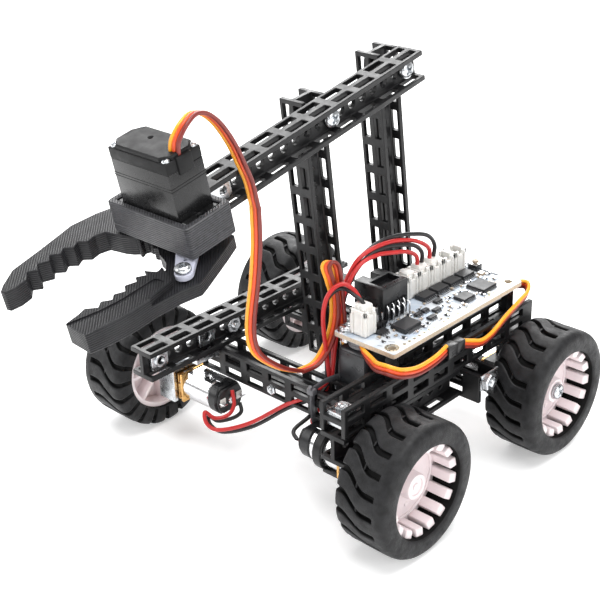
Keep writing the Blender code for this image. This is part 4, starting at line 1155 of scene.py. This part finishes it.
def track(part, points, width, mat=BLUE, top=6.935):
    """Raised line along a path of board points."""
    path = [Vector((x, y, 0)) for x, y in points]
    verts, faces = [], []
    for i, point in enumerate(path):
        along = tangent(path, i)
        side = Vector((-along.y, along.x, 0)) * (width / 2)
        low, high = Vector((0, 0, 6.88)), Vector((0, 0, top))
        verts += [tuple(point + side + low), tuple(point - side + low),
                  tuple(point - side * 0.8 + high), tuple(point + side * 0.8 + high)]
    last = 4 * (len(path) - 1)
    for row in range(0, last, 4):
        for k in range(4):
            j = (k + 1) % 4
            faces.append((row + k, row + j, row + 4 + j, row + 4 + k))
    faces += [(0, 1, 2, 3), tuple(last + k for k in range(4))]
    part.add((verts, faces), mat)


def plated_hole(part, x, y, radius, bore):
    """Gold ring with a dark ink disc in its bore, painted shade for the hole."""
    part.plate(circle(x, y, radius, 14), [circle(x, y, bore, 10)], 6.87, 6.97, 0.02,
               mat=GOLD_PAD)
    # painted shade: a dark disc fills the bore where the hole would be
    part.lathe([(0, 6.86), (bore, 6.86), (bore, 6.92), (0, 6.92)], 10, mat=HOLE_SHADE,
               at=(x, y, 0))


with piece("control_board", "white_board", [MASK, EDGE, TRACE, GOLD, INK, INK], CHASSIS,
           "chassis", "circuit_board") as part:
    outline = rounded(46.5, 70.7, 39.2, 105.6, 0.9, 4)
    holes = [circle(x, y, 1.35) for x, y in BOARD_HOLES]
    part.plate(outline, holes, 5.4, 6.8, 0.06, mat=1)
    part.plate(offset(outline, 0.05), holes, 6.76, 6.9, 0.03)
    part.plate(offset(outline, 0.05), holes, 5.3, 5.44, 0.03)
    for k in range(7):
        x = 59.0 + 0.55 * k
        track(part, [(x, 60 + k * 0.8), (x, 66 + k), (x + 2.2, 69 + k), (x + 2.2, 76)], 0.22)
    for k in range(6):
        y = 84.5 + 0.7 * k
        track(part, [(57.3, y), (59.4, y), (60.6, y + 1.0)], 0.2)
    for k in range(5):
        x = 58.2 + 0.6 * k
        track(part, [(x, 98.0), (x, 100.0 - 0.3 * k), (63.0 + 0.5 * k, 101.8)], 0.2)
    for k in range(4):
        track(part, [(57.4, 50.0 + 1.1 * k), (59.0, 50.6 + 1.1 * k)], 0.22)
    for k in range(8):
        track(part, [(66.2, 62 + 3.6 * k), (68.2, 62.6 + 3.6 * k)], 0.2)
    for k in range(22):
        plated_hole(part, 68.7, 46.5 + 2.4 * k, 0.62, 0.42)
    for x, y in VIAS:
        plated_hole(part, x, y, 0.42, 0.24)
    # landing rings round the fixing holes, each with a circle of dots
    for x, y in BOARD_HOLES:
        part.plate(circle(x, y, 2.3, 28), [circle(x, y, 1.4)], 6.87, 6.96, 0.02, mat=GOLD_PAD)
        for dot in circle(x, y, 1.85, 10):
            part.lathe([(0, 6.86), (0.22, 6.86), (0.22, 7.0), (0, 7.0)], 8, mat=MARK,
                       at=(*dot, 0))
    # aerial track and small marks near the rear end
    track(part, [(52.6, 104.2), (61.8, 104.2)], 0.9, MARK, 7.0)
    for k in range(6):
        y = 97.6 + 0.9 * k
        track(part, [(62.6, y), (63.5 + 0.25 * (k % 3), y)], 0.3, MARK, 6.95)
    for x0, y0, x1, y1 in MARKS:
        track(part, [(x0, y0), (x1, y1)], 0.2, MARK, 6.94)


def bent_lead(side, y, x, width, reach, top):
    """Lead of a chip: out, down and out again, towards side along x."""
    profile = [(0, top), (0.3, top), (0.62, 0.12), (reach, 0.12), (reach, 0.0), (0.5, 0.0),
               (0.2, top - 0.16), (0, top - 0.16)]
    return prism(*([(x + side * out, edge, z) for out, z in profile]
                   for edge in (y - width / 2, y + width / 2)))


def chip(part, x, y, width, length, height, pins, pitch, reach, all_round=False):
    """Chip body with leads on its x sides, or on all four."""
    place = move(x, y, FOOT_Z)
    verts, faces = block(-width / 2, width / 2, -length / 2, length / 2, 0.12, height, 0.12, 1)
    tapered = [(x * (1 - 0.05 * z / height), y * (1 - 0.03 * z / height), z)
               for x, y, z in verts]
    part.add((tapered, faces), at=place)
    lead = (0.42 * pitch, reach, 0.5 * height + 0.15)
    for k in range(pins):
        along = (k - (pins - 1) / 2) * pitch
        for s in (-1, 1):
            part.add(bent_lead(s, along, s * width / 2 * 0.97, *lead), 1, place)
            if all_round:
                part.add(bent_lead(s, along, s * length / 2 * 0.97, *lead), 1, place @ turn(90))
    part.lathe([(0, height - 0.02), (0.32, height - 0.02), (0.32, height + 0.015),
                (0, height + 0.015)], 12, mat=2,
               at=place @ move(-width / 2 + 0.9, -length / 2 + 0.9, 0))


with piece("board_chips", "black_socket_plastic", [CHIP, LEAD_SHADE_TIN, INK], CHASSIS, "chassis") as part:
    for y in (75.2, 82.2, 89.1, 96.0):
        chip(part, 54.0, y, 4.2, 6.0, 1.6, 7, 0.88, reach=1.5)
    chip(part, 63.2, 93.0, 7.2, 7.2, 1.3, 13, 0.5, reach=0.5, all_round=True)
    chip(part, 63.9, 82.8, 4.6, 5.8, 1.2, 9, 0.6, reach=1.0)
    # the largest chip's leads are finer and set apart from its body's pitch
    chip(part, 62.2, 55.2, 6.2, 8.0, 1.6, 0, 1.0, reach=0.8)
    for s in (-1, 1):
        for k in range(14):
            part.add(bent_lead(s, 55.4 + (k - 6.5) * 0.48, 62.2 + s * 3.05, 0.22, 0.8, 0.8), 1,
                     (0, 0, FOOT_Z))
    chip(part, 59.0, 47.6, 2.6, 3.8, 1.1, 4, 0.9, reach=0.8)
    for x, y, width, length in ((60.0, 63.9, 1.6, 2.9), (60.0, 67.4, 1.6, 2.9),
                                (64.6, 65.0, 1.9, 3.4), (59.0, 75.2, 1.7, 3.2),
                                (62.5, 70.1, 1.7, 3.2)):
        chip(part, x, y, width, length, 0.95, 3, 0.95, reach=0.55)

# passives: x, y, turn in degrees
PASSIVES = [
    (57.9, 61.8, 0), (57.9, 64.2, 0), (57.9, 66.8, 90), (62.6, 62.0, 90), (65.9, 61.5, 0),
    (67.0, 66.2, 90), (66.9, 69.6, 0), (65.6, 72.8, 0), (62.0, 73.6, 90), (64.4, 75.0, 0),
    (66.6, 76.4, 90), (61.6, 77.3, 0), (60.0, 79.6, 90), (60.2, 82.8, 0), (60.0, 85.4, 90),
    (66.9, 78.9, 0), (62.0, 87.2, 0), (65.0, 87.6, 90), (66.9, 88.6, 0), (58.0, 89.2, 0),
    (58.0, 93.6, 90), (58.2, 98.4, 0), (60.6, 99.0, 90), (62.6, 100.8, 0), (59.0, 102.6, 90),
    (65.0, 98.0, 90), (55.4, 99.4, 0), (51.6, 99.2, 90), (57.4, 53.0, 90), (57.4, 57.2, 90),
    (66.4, 49.2, 0), (63.6, 48.6, 90), (62.4, 46.2, 0), (60.4, 44.4, 90), (63.2, 43.2, 0),
    (66.8, 54.8, 90), (66.4, 58.9, 0), (56.8, 71.2, 0), (56.8, 78.6, 0), (56.9, 85.6, 0),
    (56.9, 92.2, 0), (61.0, 51.0, 0)]


def passive(part, place, scale, mat):
    """Small body between two tinned ends."""
    part.block(-0.42 * scale, 0.42 * scale, -0.36 * scale, 0.36 * scale, 0.0, 0.5 * scale,
               0.05, 1, mat=mat, at=place)
    for end in (-1, 1):
        part.block(end * 0.62 * scale - 0.24 * scale, end * 0.62 * scale + 0.24 * scale,
                   -0.38 * scale, 0.38 * scale, 0.0, 0.53 * scale, 0.06, 1, mat=2, at=place)


with piece("board_passives", "white_board", [CERAMIC, CHIP, TIN, LED], CHASSIS,
           "chassis") as part:
    for i, (x, y, angle) in enumerate(PASSIVES):
        passive(part, move(x, y, FOOT_Z) @ turn(angle), 1.0 if i % 3 else 1.25,
                0 if i % 2 else 1)
    part.block(56.2, 58.4, 99.8, 102.2, 6.9, 7.8, 0.2, 2)
    part.block(56.4, 58.2, 100.0, 102.0, 7.7, 7.9, 0.1, 1, mat=2)
    for x, y in ((67.4, 90.8), (59.0, 96.2)):
        part.block(x, x + 1.0, y - 0.6, y + 0.6, 6.9, 7.5, 0.15, 2, mat=3)


def open_socket(part, x0, x1, y0, y1, z1):
    """Tall open socket with ribs, slots in its rim and two pins standing in the well."""
    wall, z0 = 0.85, 7.2
    part.plate(rounded(x0, x1, y0, y1, 0.3, 2),
               [rounded(x0 + wall, x1 - wall, y0 + wall, y1 - wall, 0.2, 2)],
               z0 + 2.0, z1 - 1.6, 0.1)
    part.block(x0, x1, y0, y1, z0, z0 + 2.1, 0.25, 2)
    mid_x, mid_y = (x0 + x1) / 2, (y0 + y1) / 2
    # upper rim, broken by two slots
    for left, right, front, rear in (
            (x0, x0 + wall, y0, mid_y - 1.1), (x0, x0 + wall, mid_y + 1.1, y1),
            (x1 - wall, x1, y0, mid_y - 0.9), (x1 - wall, x1, mid_y + 0.9, y1),
            (x0, x1, y0, y0 + wall), (x0, x1, y1 - wall, y1)):
        part.block(left, right, front, rear, z1 - 1.9, z1, 0.16, 1)
    for s in (-1, 1):
        x, y = mid_x + s * (x1 - x0) * 0.3, mid_y + s * (y1 - y0) * 0.28
        part.block(x - 0.3, x + 0.3, y0 - 0.45, y0 + 0.2, z0 + 0.3, z1 - 0.6, 0.12, 1)
        part.block(x1 - 0.2, x1 + 0.45, y - 0.3, y + 0.3, z0 + 0.3, z1 - 0.6, 0.12, 1)
    for y in (mid_y - 0.95, mid_y + 0.95):
        part.block(mid_x - 0.32, mid_x + 0.32, y - 0.32, y + 0.32, z0 + 1.0, z1 - 1.8, 0.1, 1,
                   mat=1)


with piece("motor_socket_row", "white_socket_plastic", [NYLON, TIN], CHASSIS, "chassis",
           "motor_sockets") as part:
    for k in range(5):
        y = 69.45 + 6.3 * k
        open_socket(part, 45.6, 51.2, y, y + 5.9, 15.2)
with piece("power_socket_shell", "white_socket_plastic", [NYLON, TIN], CHASSIS, "chassis",
           "power_socket") as part:
    open_socket(part, 51.2, 57.6, 41.4, 46.8, 15.5)

# plug halves in the sockets, where the leads go in
with piece("lead_plugs", "white_socket_plastic", [NYLON], CHASSIS, "chassis") as part:
    for y, top in ((75.75, 16.4), (82.05, 16.4), (69.45, 15.9)):
        part.block(46.6, 50.2, y + 1.0, y + 4.9, 11.0, top, 0.35, 2)
        part.block(46.2, 46.9, y + 2.0, y + 3.9, 12.0, 16.0, 0.2, 1)
    part.block(52.2, 56.8, 42.4, 45.9, 11.0, 17.2, 0.3, 2)
    for k in range(3):
        part.block(56.7, 57.1, 42.9 + 1.1 * k, 43.4 + 1.1 * k, 12.0, 17.0, 0.1, 1)
        part.block(52.6 + 1.5 * k, 53.2 + 1.5 * k, 42.1, 42.5, 12.0, 17.0, 0.1, 1)

# black box socket: mouth to the far side, a latch slot on top and bent pins on the near side
with piece("box_socket", "black_socket_plastic", [BLACK_NYLON, TIN], CHASSIS, "chassis",
           "modular_socket") as part:
    part.block(44.4, 54.4, 53.4, 63.6, FOOT_Z, 8.9, 0.3, 1)
    box = block(43.4, 55.4, 52.4, 64.6, 8.6, 18.6, 0.5, 2)
    box = cut(box, block(41.0, 51.6, 54.3, 62.7, 10.4, 16.0, 0.05, 1))
    box = cut(box, block(41.0, 47.6, 56.6, 60.4, 15.0, 20.0, 0.05, 1))
    part.add(cut(box, block(48.6, 53.4, 54.0, 63.0, 16.8, 20.0, 0.05, 1)))
    for y in (52.15, 64.55):
        part.block(44.4, 53.0, y, y + 0.3, 9.0, 14.6, 0.1, 1)
    for k in range(6):
        y = 54.6 + 1.5 * k
        part.add(tube([(51.2, y, 10.6), (47.0, y, 11.4), (45.4, y, 12.6)], 0.22, 6, 4), 1)
    for k in range(8):
        y = 53.9 + 1.3 * k
        x = 57.4 if k % 2 else 56.3
        drop = 1.2 * (k % 2)
        part.add(tube([(55.0, y, 12.6 - drop), (x - 0.6, y, 12.6 - drop), (x, y, 11.8 - drop),
                       (x, y, 9.2), (x, y, 6.7)], 0.27, 8, 4), 1)
        part.block(55.3, 55.9, y - 0.45, y + 0.45, 7.2, 13.0, 0.1, 1)

with piece("pin_header", "black_socket_plastic", [BLACK_NYLON, TIN], CHASSIS,
           "chassis") as part:
    for row in range(2):
        for k in range(2):
            x, y = 54.4 + 2.2 * row, 48.4 + 2.2 * k
            part.block(x - 1.05, x + 1.05, y - 1.05, y + 1.05, FOOT_Z, 9.4, 0.3, 1)
            part.block(x - 0.3, x + 0.3, y - 0.3, y + 0.3, 6.9, 13.2 - row, 0.1, 1, mat=1)

with piece("button_case", "black_socket_plastic", [BLACK_NYLON, TIN], CHASSIS, "chassis",
           "button_body") as part:
    part.block(51.6, 55.0, 101.5, 104.7, 7.0, 9.05, 0.25, 2)
    part.block(51.75, 54.85, 101.65, 104.55, 8.9, 9.15, 0.1, 1, mat=1)
    for x in (51.2, 54.6):
        for y in (102.2, 104.0):
            part.block(x, x + 0.8, y - 0.25, y + 0.25, FOOT_Z, 7.25, 0.08, 1, mat=1)
with piece("button_cap", "zinc_steel", [CERAMIC], CHASSIS, "reset_button",
           "reset_button") as part:
    part.lathe([(0, 9.5), (1.0, 9.5), (1.1, 9.6), (1.1, 10.2), (0.95, 10.4), (0, 10.4)], 24,
               at=(53.3, 103.1, 0))

# pillars under the near holes, screws in the far ones
with piece("board_pillars", "zinc_steel", [BLACK_NYLON], CHASSIS, "chassis",
           "standoff_near_front", "standoff_near_rear") as part:
    for x, y in BOARD_HOLES[1:3]:
        part.plate([polar(2.2, radians(60 * i)) for i in range(6)], [], -3.6, 5.0, 0.25,
                   at=(x, y, 0))
with piece("board_screws", "zinc_steel", [ZINC], CHASSIS, "chassis") as part:
    for x, y in BOARD_HOLES[::3]:
        part.lathe([(1.4, 6.92), (3.1, 6.92), (3.1, 7.3), (1.4, 7.3)], at=(x, y, 0))
        part.screw((x, y, 7.25), Z, 2.3, spin=10 * x)
        part.lathe([(0, 3.4), (2.0, 3.4), (2.0, 5.2), (1.0, 5.3), (1.0, 7.3), (0, 7.3)], 18,
                   at=(x, y, 0))

# battery block in shrink sleeve with folded ends
with piece("battery_block", "grey_battery_sleeve", [SLEEVE], CHASSIS, "chassis",
           "battery_pack") as part:
    part.block(46.8, 58.9, 40.2, 69.0, -19.0, 1.6, 1.6, 4)
    for z in (-12.4, -5.2):
        part.block(46.72, 58.98, 40.9, 68.4, z - 0.2, z + 0.2, 0.18, 2)
    for y in (40.6, 68.6):
        part.block(47.6, 58.1, y - 0.45, y + 0.45, -18.0, 0.8, 0.4, 2)
with piece("rubber_spacer", "grey_spacer", [GREY], CHASSIS, "chassis", "pack_spacer") as part:
    part.lathe([(0, 1.9), (4.3, 1.9), (4.6, 2.2), (4.6, 2.9), (4.35, 3.1), (4.35, 3.4),
                (4.6, 3.6), (4.6, 4.7), (4.3, 5.0), (0, 5.0)], 40, at=(53.0, 45.6, 0))

# line sensor: a bar with two posts above and five sensors below
with piece("sensor_bar", "white_board", [MASK, BLACK_NYLON, GREY, CERAMIC], CHASSIS, "chassis",
           "line_sensor") as part:
    part.plate(rounded(8, 56, 70.2, 79.0, 1.2, 4),
               [circle(11, 74.6, 1.1, 14), circle(53, 74.6, 1.1, 14)], -38.6, -37.0, 0.1)
    for x in (14.0, 50.0):
        part.block(x - 2.5, x + 2.5, 72.0, 77.0, -37.2, -20.42, 0.5, 2, mat=1)
    for x in (14.0, 23.0, 32.0, 41.0, 50.0):
        part.block(x - 2.2, x + 2.2, 72.6, 76.4, -40.1, -38.5, 0.3, 2, mat=1)
        for s in (-1, 1):
            part.lathe([(0, -40.2), (0.6, -40.2), (0.75, -40.05), (0.75, -39.6), (0, -39.6)],
                       16, mat=2, at=(x + s * 1.05, 74.5, 0))
    for k in range(9):
        x = 16.5 + 4.4 * k
        for y in (71.1, 77.6):
            part.block(x - 0.5, x + 0.5, y, y + 0.6, -37.05, -36.5, 0.1, 1, mat=3)

# sheet tabs at the rail ends and the small fixings on the rails
with piece("far_rail_tab", "zinc_steel", [ZINC], CHASSIS, "chassis",
           "far_beam_bracket") as part:
    part.plate(rounded(2.5, 9.3, -7.9, -2.0, 0.8), [circle(5.9, -4.95, 1.5, 18)], 1.1, 2.2,
               at=UPRIGHT_SHEET)
    part.lathe([(1.5, 2.1), (2.3, 2.1), (2.3, 2.6), (2.0, 2.8), (1.5, 2.8)], 24,
               at=move(0, 5.9, -4.95) @ turn(90, "Y"))
with piece("near_rail_tab", "zinc_steel", [ZINC], CHASSIS, "chassis",
           "near_beam_bracket") as part:
    part.plate(rounded(65.4, 71.6, 14.8, 21.8, 0.8), [circle(68.5, 18.3, 1.5, 18)], -3.6, -2.5)
    part.block(65.45, 71.55, 14.8, 15.9, -7.4, -3.4, 0.3, 2)
    part.nut((68.5, 18.3, -2.5), Z, 2.3, 1.2, 0.2, bolt=1.2)
with piece("rail_fixings", "zinc_steel", [ZINC], CHASSIS, "chassis") as part:
    part.plate(rounded(22.9, 29.7, -7.9, -2.0, 0.8), [circle(26.3, -4.95, 1.5, 18)], 1.1, 2.2,
               at=UPRIGHT_SHEET)
    part.nut((1.0, 38.0, -4.95), X, 3.0, 2.2, 1.0)
    part.nut((80.75, 72.6, -12.6), X, 3.0, 2.2, 0.9)
    part.block(80.15, 80.8, 69.9, 78.9, -15.6, -10.3, 0.2, 2)
    part.nut((30.0, 28.0, -15.0), FRONT, 1.8, 1.2, 0.5, bolt=0.9)
    part.nut((-1.0, 76.0, -4.95), (-1, 0, 0), 3.0, 2.2, 1.0)

# ------------------------------------------------------------------ cables
# All paths are chassis points. The servo's lead: down from the gripper, ...
LEAD_DOWN = [
    (47.3, -19.0, 79.4), (47.6, -19.5, 82.9), (48.2, -19.0, 85.7), (48.4, -16.4, 88.6),
    (47.2, -12.0, 89.8), (46.5, -7.4, 88.3), (46.0, -2.6, 84.0), (45.4, 2.2, 77.3),
    (45.0, 5.5, 70.9), (44.9, 8.2, 64.8), (44.9, 10.1, 56.8), (44.2, 10.6, 45.8),
    (42.6, 10.6, 33.2), (41, 10, 22), (41, 9.5, 15.6), (41.5, 10.3, 10.5), (42, 13.3, 6.3),
    (42.5, 20.2, 0.5), (43, 27.4, -3.5), (43.5, 33.7, -3.5), (44, 37.9, -0.1), (44, 41.3, 4.8),
    (44, 42.8, 10.5), (44, 42.6, 16.8), (43.5, 41.4, 22.5), (43, 40.3, 27.1)]
# ... over to the plug pair on the near side ...
LEAD_ACROSS = [
    (43.5, 42.1, 28.3), (44, 43.7, 25.9), (44.5, 44.3, 18.4), (45, 44.5, 9.8), (46, 44.6, 3.1),
    (48, 45.4, -0.6), (53.5, 43.4, 2.6), (58.5, 39.6, 3.4), (63.5, 37.2, 3.0),
    (68.0, 34.2, 4.2), (72.4, 33.2, 5.2), (75.6, 34.9, 4.4), (76.3, 38.8, 3.0),
    (76.3, 43.6, 1.8), (76.2, 48.8, 1.5), (76.0, 53.8, 1.8), (75.6, 58.6, 2.6)]
# ... and on to the rear of the board
LEAD_TAIL = [
    (75.5, 66.0, 1.5), (75.4, 71.5, -0.8), (75.4, 76.6, -2.6), (74.5, 83.7, -2.7),
    (74, 91.4, -0.2), (73, 100, 1.3), (72, 106.6, 2.5), (70, 109.0, 4), (67.4, 107.6, 4.0),
    (65.6, 103.4, 3.9)]
# direction across the cores at each point of the lower length, the last one holding on
LOWER_ACROSS = [(0.9, 0.4, 0.1)] * 12 + [(0.9, 0.1, -0.3)] * 2 + [(0.6, -0.2, -0.7)] * 2
LOWER_ACROSS += [(0.1, -0.3, -0.95)]
CORE_RADIUS = 0.62


def flat_cable(name, points, across, rider=None, blend=None):
    """Three cores side by side along a curve."""
    knots = [Vector(point) for point in points]
    sides = [square_to(Vector(across[min(i, len(across) - 1)]), tangent(knots, i))
             for i in range(len(knots))]
    path, sides = spline(knots), spline(sides)
    with piece(name, "servo_case_plastic", [WIRE_YELLOW, WIRE_ORANGE, WIRE_BROWN], CHASSIS,
               rider, angle=60, blend=blend) as part:
        for core in range(3):
            shift = (core - 1) * CORE_RADIUS * 1.86
            line = [point + square_to(sides[i], tangent(path, i)) * shift
                    for i, point in enumerate(path)]
            part.add(sweep(line, CORE_RADIUS), core)


SPLIT = 10                             # the point of LEAD_DOWN where the upper length ends
split_at = tuple(station(*LEAD_DOWN[SPLIT]))
flat_cable("servo_lead_upper", LEAD_DOWN[:SPLIT + 1], [(1, 0.25, 0.1)],
           blend=("arm", "front_link", tuple(station(*LEAD_DOWN[3])), split_at))
flat_cable("servo_lead_middle", LEAD_DOWN[SPLIT:19], [(0.9, 0.4, 0.1)],
           blend=("front_link", "chassis", split_at, tuple(station(*LEAD_DOWN[16]))))
flat_cable("servo_lead_lower", LEAD_DOWN[18:] + LEAD_ACROSS, LOWER_ACROSS, rider="chassis")
flat_cable("servo_lead_tail", LEAD_TAIL, [(-0.3, 0, -1)], rider="chassis")

with piece("servo_lead_plug", "black_socket_plastic", [BLACK_NYLON], CHASSIS,
           "chassis") as part:
    part.block(73.7, 76.9, 57.9, 62.6, -0.6, 3.6, 0.35, 2)
    part.block(73.9, 76.7, 62.4, 66.6, -0.3, 3.3, 0.35, 2)
    for k in (-1, 0, 1):
        z = 1.3 + k * 1.15
        part.block(76.7, 76.98, 59.2, 61.4, z - 0.35, z + 0.35, 0.1, 1)

WIRES = {"red": WIRE_RED, "black": WIRE_BLACK}
THICK, THIN = 0.7, 0.66                # wire radii
# name ending in its colour: radius, path
LEADS = {
    "power_red": (THICK, [
        (45, 38.7, -10.9), (44.5, 37.8, 0.1), (44.5, 36.8, 11), (45, 37.8, 17.6),
        (46, 40.4, 20.9), (47.5, 43.0, 21.8), (50.2, 44.4, 20.4), (52.6, 44.6, 17.9),
        (53.6, 44.6, 15.2)]),
    "power_black": (THIN, [
        (43.6, 39.4, -10.5), (43.2, 38.9, 0.1), (43.2, 38.2, 10.4), (43.8, 39.4, 16.2),
        (45.2, 41.8, 19.2), (47.6, 43.6, 20.0), (51.6, 43.6, 18.9), (54.4, 43.9, 17.6),
        (55.3, 44.0, 15.2)]),
    "outer_red": (THICK, [
        (44, 40.8, -10.3), (43, 43.2, 0.9), (43, 44.9, 12.5), (43.5, 48.3, 19),
        (45, 52.3, 25.5), (46, 58.3, 27.8), (47, 65.8, 27.9), (48, 72.6, 26.5),
        (48.6, 78.2, 24.2), (48.6, 83.6, 20.0), (48.4, 84.2, 15.2)]),
    "outer_black": (THICK, [
        (43, 42.8, -11.6), (42, 45.2, -0.3), (42, 47, 11.4), (43, 49.8, 19.3),
        (44, 54.9, 25.3), (45, 62.4, 28.2), (46.5, 69.4, 28.6), (48, 75.6, 27.6),
        (49, 82.2, 25.2), (48.9, 86.2, 20.6), (48.4, 86.2, 15.2)]),
    "inner_red": (THICK, [
        (45.5, 39.1, -10.1), (45, 41.9, 2.1), (45, 44.6, 13.3), (46, 47.8, 20.9),
        (46.5, 52.9, 25), (47.5, 59.4, 25.8), (48.5, 65, 24.9), (49.0, 71.8, 23.0),
        (48.7, 77.0, 19.6), (48.4, 77.9, 15.2)]),
    "inner_black": (THICK, [
        (44.5, 42.1, -11.8), (44, 44, 0.9), (44, 46.6, 12.2), (45, 50.4, 21.1),
        (46, 56.4, 25.9), (47, 62.9, 26.9), (48, 68.1, 26.2), (49.2, 75.0, 24.2),
        (48.9, 79.6, 20.0), (48.4, 79.9, 15.2)]),
    "far_motor_red": (THIN, [
        (12, 26.9, -21.7), (14, 25.5, -26), (14, 22.6, -28.5), (12, 18.6, -28.6),
        (10, 16.2, -26), (12, 15, -29.2), (16, 16.9, -30.7), (24, 22.9, -27.7), (34, 29.2, -20),
        (41, 31.4, -15.6), (44.0, 35.6, -12.6), (44.8, 38.7, -10.9)]),
    "far_motor_black": (THIN, [
        (12, 30.0, -28.0), (14, 28.5, -30), (13, 25.5, -31.4), (11, 20.6, -31.0),
        (9.4, 18.2, -28.4), (11.4, 17.2, -31.0), (16, 18.8, -32.4), (24, 24.5, -29.6),
        (34, 30.0, -21.6), (41, 32.6, -17.0), (43.6, 37.0, -13.6), (43.6, 39.4, -10.5)])}
TERMINAL_Y = (-4.2, 4.2)               # a motor's two terminals, from its axle
# motors on the near side, front then rear: axle y, where the leads end, colours
for number, (axle_y, end, colours) in enumerate((
        (FRONT_AXLE_Y, (44.6, 41.0, -11.0), ("black", "red")),
        (REAR_AXLE_Y, (46.0, 69.8, -9.0), ("red", "black")))):
    for k, colour in enumerate(colours):
        y = axle_y + TERMINAL_Y[k]
        LEADS[f"motor_lead_{number}_{colour}"] = (THIN, [
            (45.0, y, AXLE_Z), (42.5, y + 1.5, AXLE_Z + 2.0),
            (43.5, (y + end[1]) / 2, AXLE_Z + 5.0 + k),
            (end[0], (y + 2 * end[1]) / 3, -14.0 + k), end])
# rear motor on the far side
for k, colour in enumerate(("red", "black")):
    y = REAR_AXLE_Y + TERMINAL_Y[k]
    LEADS["motor_lead_2_" + colour] = (THIN, [
        (12.4, y, AXLE_Z), (15.4, y - 2, AXLE_Z + 2.0), (24, 92 + k * 1.8, AXLE_Z + 5),
        (36, 84 + k * 1.8, -17.4), (43.0, 80.5 + k, -9.0), (45.0, 78.0 + k, -3.0),
        (45.2, 74.0 + k, 1.0)])
for name, (radius, points) in LEADS.items():
    with piece("lead_" + name, "servo_case_plastic", [WIRES[name.split("_")[-1]]], CHASSIS,
               "chassis", angle=60) as part:
        part.add(tube(points, radius, 12, 8))

# cable tie round the front cross rail
TIE_LOOP = [Vector(point) for point in (
    (46.6, 29.0, -9.4), (46.6, 28.6, -14.9), (46.6, 29.0, -20.3), (46.7, 34.6, -20.7),
    (46.7, 40.2, -20.3), (46.7, 40.5, -14.9), (46.7, 40.2, -9.6), (46.6, 34.6, -8.9),
    (46.6, 29.0, -9.4))]
with piece("cable_tie_loop", "black_socket_plastic", [TIE], CHASSIS, "chassis") as part:
    path = [start.lerp(end, k / 4) for start, end in zip(TIE_LOOP, TIE_LOOP[1:])
            for k in range(4)]
    part.add(sweep(path + [TIE_LOOP[-1]], 1.1, 8, 0.42, Vector(X)))
    part.block(45.2, 48.0, 27.5, 29.7, -11.0, -8.8, 0.5, 2)
    part.add(tube([(46.6, 28.4, -9.2), (46.9, 27.7, -8.2), (47.3, 27.2, -7.4)], 0.55, 8, 4))


# ------------------------------------------- floor, lights, camera (metres)
def stage(name, data):
    made = bpy.data.objects.new(name, data)
    bpy.context.collection.objects.link(made)
    return made


def floor_material():
    shader = Shader("pale_floor")
    base = shader.ramp(shader.noise(40), (0.0, (0.90, 0.90, 0.90)), (1.0, (0.93, 0.93, 0.93)))
    shader.principled({"Base Color": base, "Roughness": 0.9, "Emission Color": (1, 1, 1, 1),
                       "Emission Strength": 0.32, "Specular IOR Level": 0.1})
    return shader.material


def floor():
    """Flat floor that curves up into a backdrop far behind."""
    half_size = 14.0
    curve_start, curve_radius, wall_top = 3.0, 2.0, 9.0
    profile = [(-half_size, 0.0), (curve_start, 0.0)]
    profile += [(curve_start + curve_radius * sin(radians(angle)),
                 curve_radius - curve_radius * cos(radians(angle)))
                for angle in range(10, 91, 10)]
    profile += [(curve_start + curve_radius, wall_top)]
    back = Vector((-0.7, 0.71, 0)).normalized()
    across = Vector((back.y, -back.x, 0))
    floor_z = cad_box[0][2] - 0.0001
    verts = []
    for distance, height in profile:
        for side in (-half_size, half_size):
            point = back * distance + across * side
            verts.append((point.x, point.y, floor_z + height))
    faces = [(i, i + 1, i + 3, i + 2) for i in range(0, len(verts) - 2, 2)]
    material = floor_material()
    mesh = bpy.data.meshes.new("floor")
    mesh.from_pydata(verts, [], faces)
    mesh.materials.append(material)
    mesh.shade_smooth()
    stage("floor", mesh)


def area_light(name, location, target_z, size, power):
    """Rectangular light aimed at a height above the world's origin."""
    data = bpy.data.lights.new(name, "AREA")
    data.shape = "RECTANGLE"
    data.size, data.size_y = size
    data.energy = power
    light = stage(name, data)
    aim = (Vector((0, 0, target_z)) - Vector(location)).to_track_quat("-Z", "Y")
    light.matrix_world = Matrix.Translation(location) @ aim.to_matrix().to_4x4()


floor()
area_light("overhead", location=(0.05, 0.0, 1.25), target_z=0.05, size=(1.0, 1.0), power=18)
area_light("back_sheen", location=(-0.9, 1.0, 0.76), target_z=0.06, size=(1.3, 0.42), power=17)
area_light("key_left", location=(-1.0, -0.9, 0.7), target_z=0.05, size=(0.6, 0.8), power=7)
area_light("fill_right", location=(1.2, 0.0, 0.6), target_z=0.05, size=(0.7, 0.8), power=7)
area_light("front", location=(0.5, -1.2, 0.5), target_z=0.04, size=(0.8, 0.6), power=3)

world = bpy.data.worlds.new("studio")
bpy.context.scene.world = world
world.use_nodes = True
background = world.node_tree.nodes["Background"].inputs
background["Color"].default_value = (1, 1, 1, 1)
background["Strength"].default_value = 0.3

CAMERA_AT = (280.448, -215.453, 187.986)        # chassis point
CAMERA_TURN = Matrix(((0.727024, -0.282555, 0.625779),
                      (0.685887, 0.340732, -0.643009),
                      (-0.031538, 0.896697, 0.441521)))
lens = bpy.data.cameras.new("camera")
lens.sensor_width = 36.0
lens.lens = 75.97722
camera = stage("camera", lens)
camera.matrix_world = Matrix.Translation(station(*CAMERA_AT)) @ CAMERA_TURN.to_4x4()
bpy.context.scene.camera = camera
bpy.context.scene.view_settings.view_transform = "Standard"
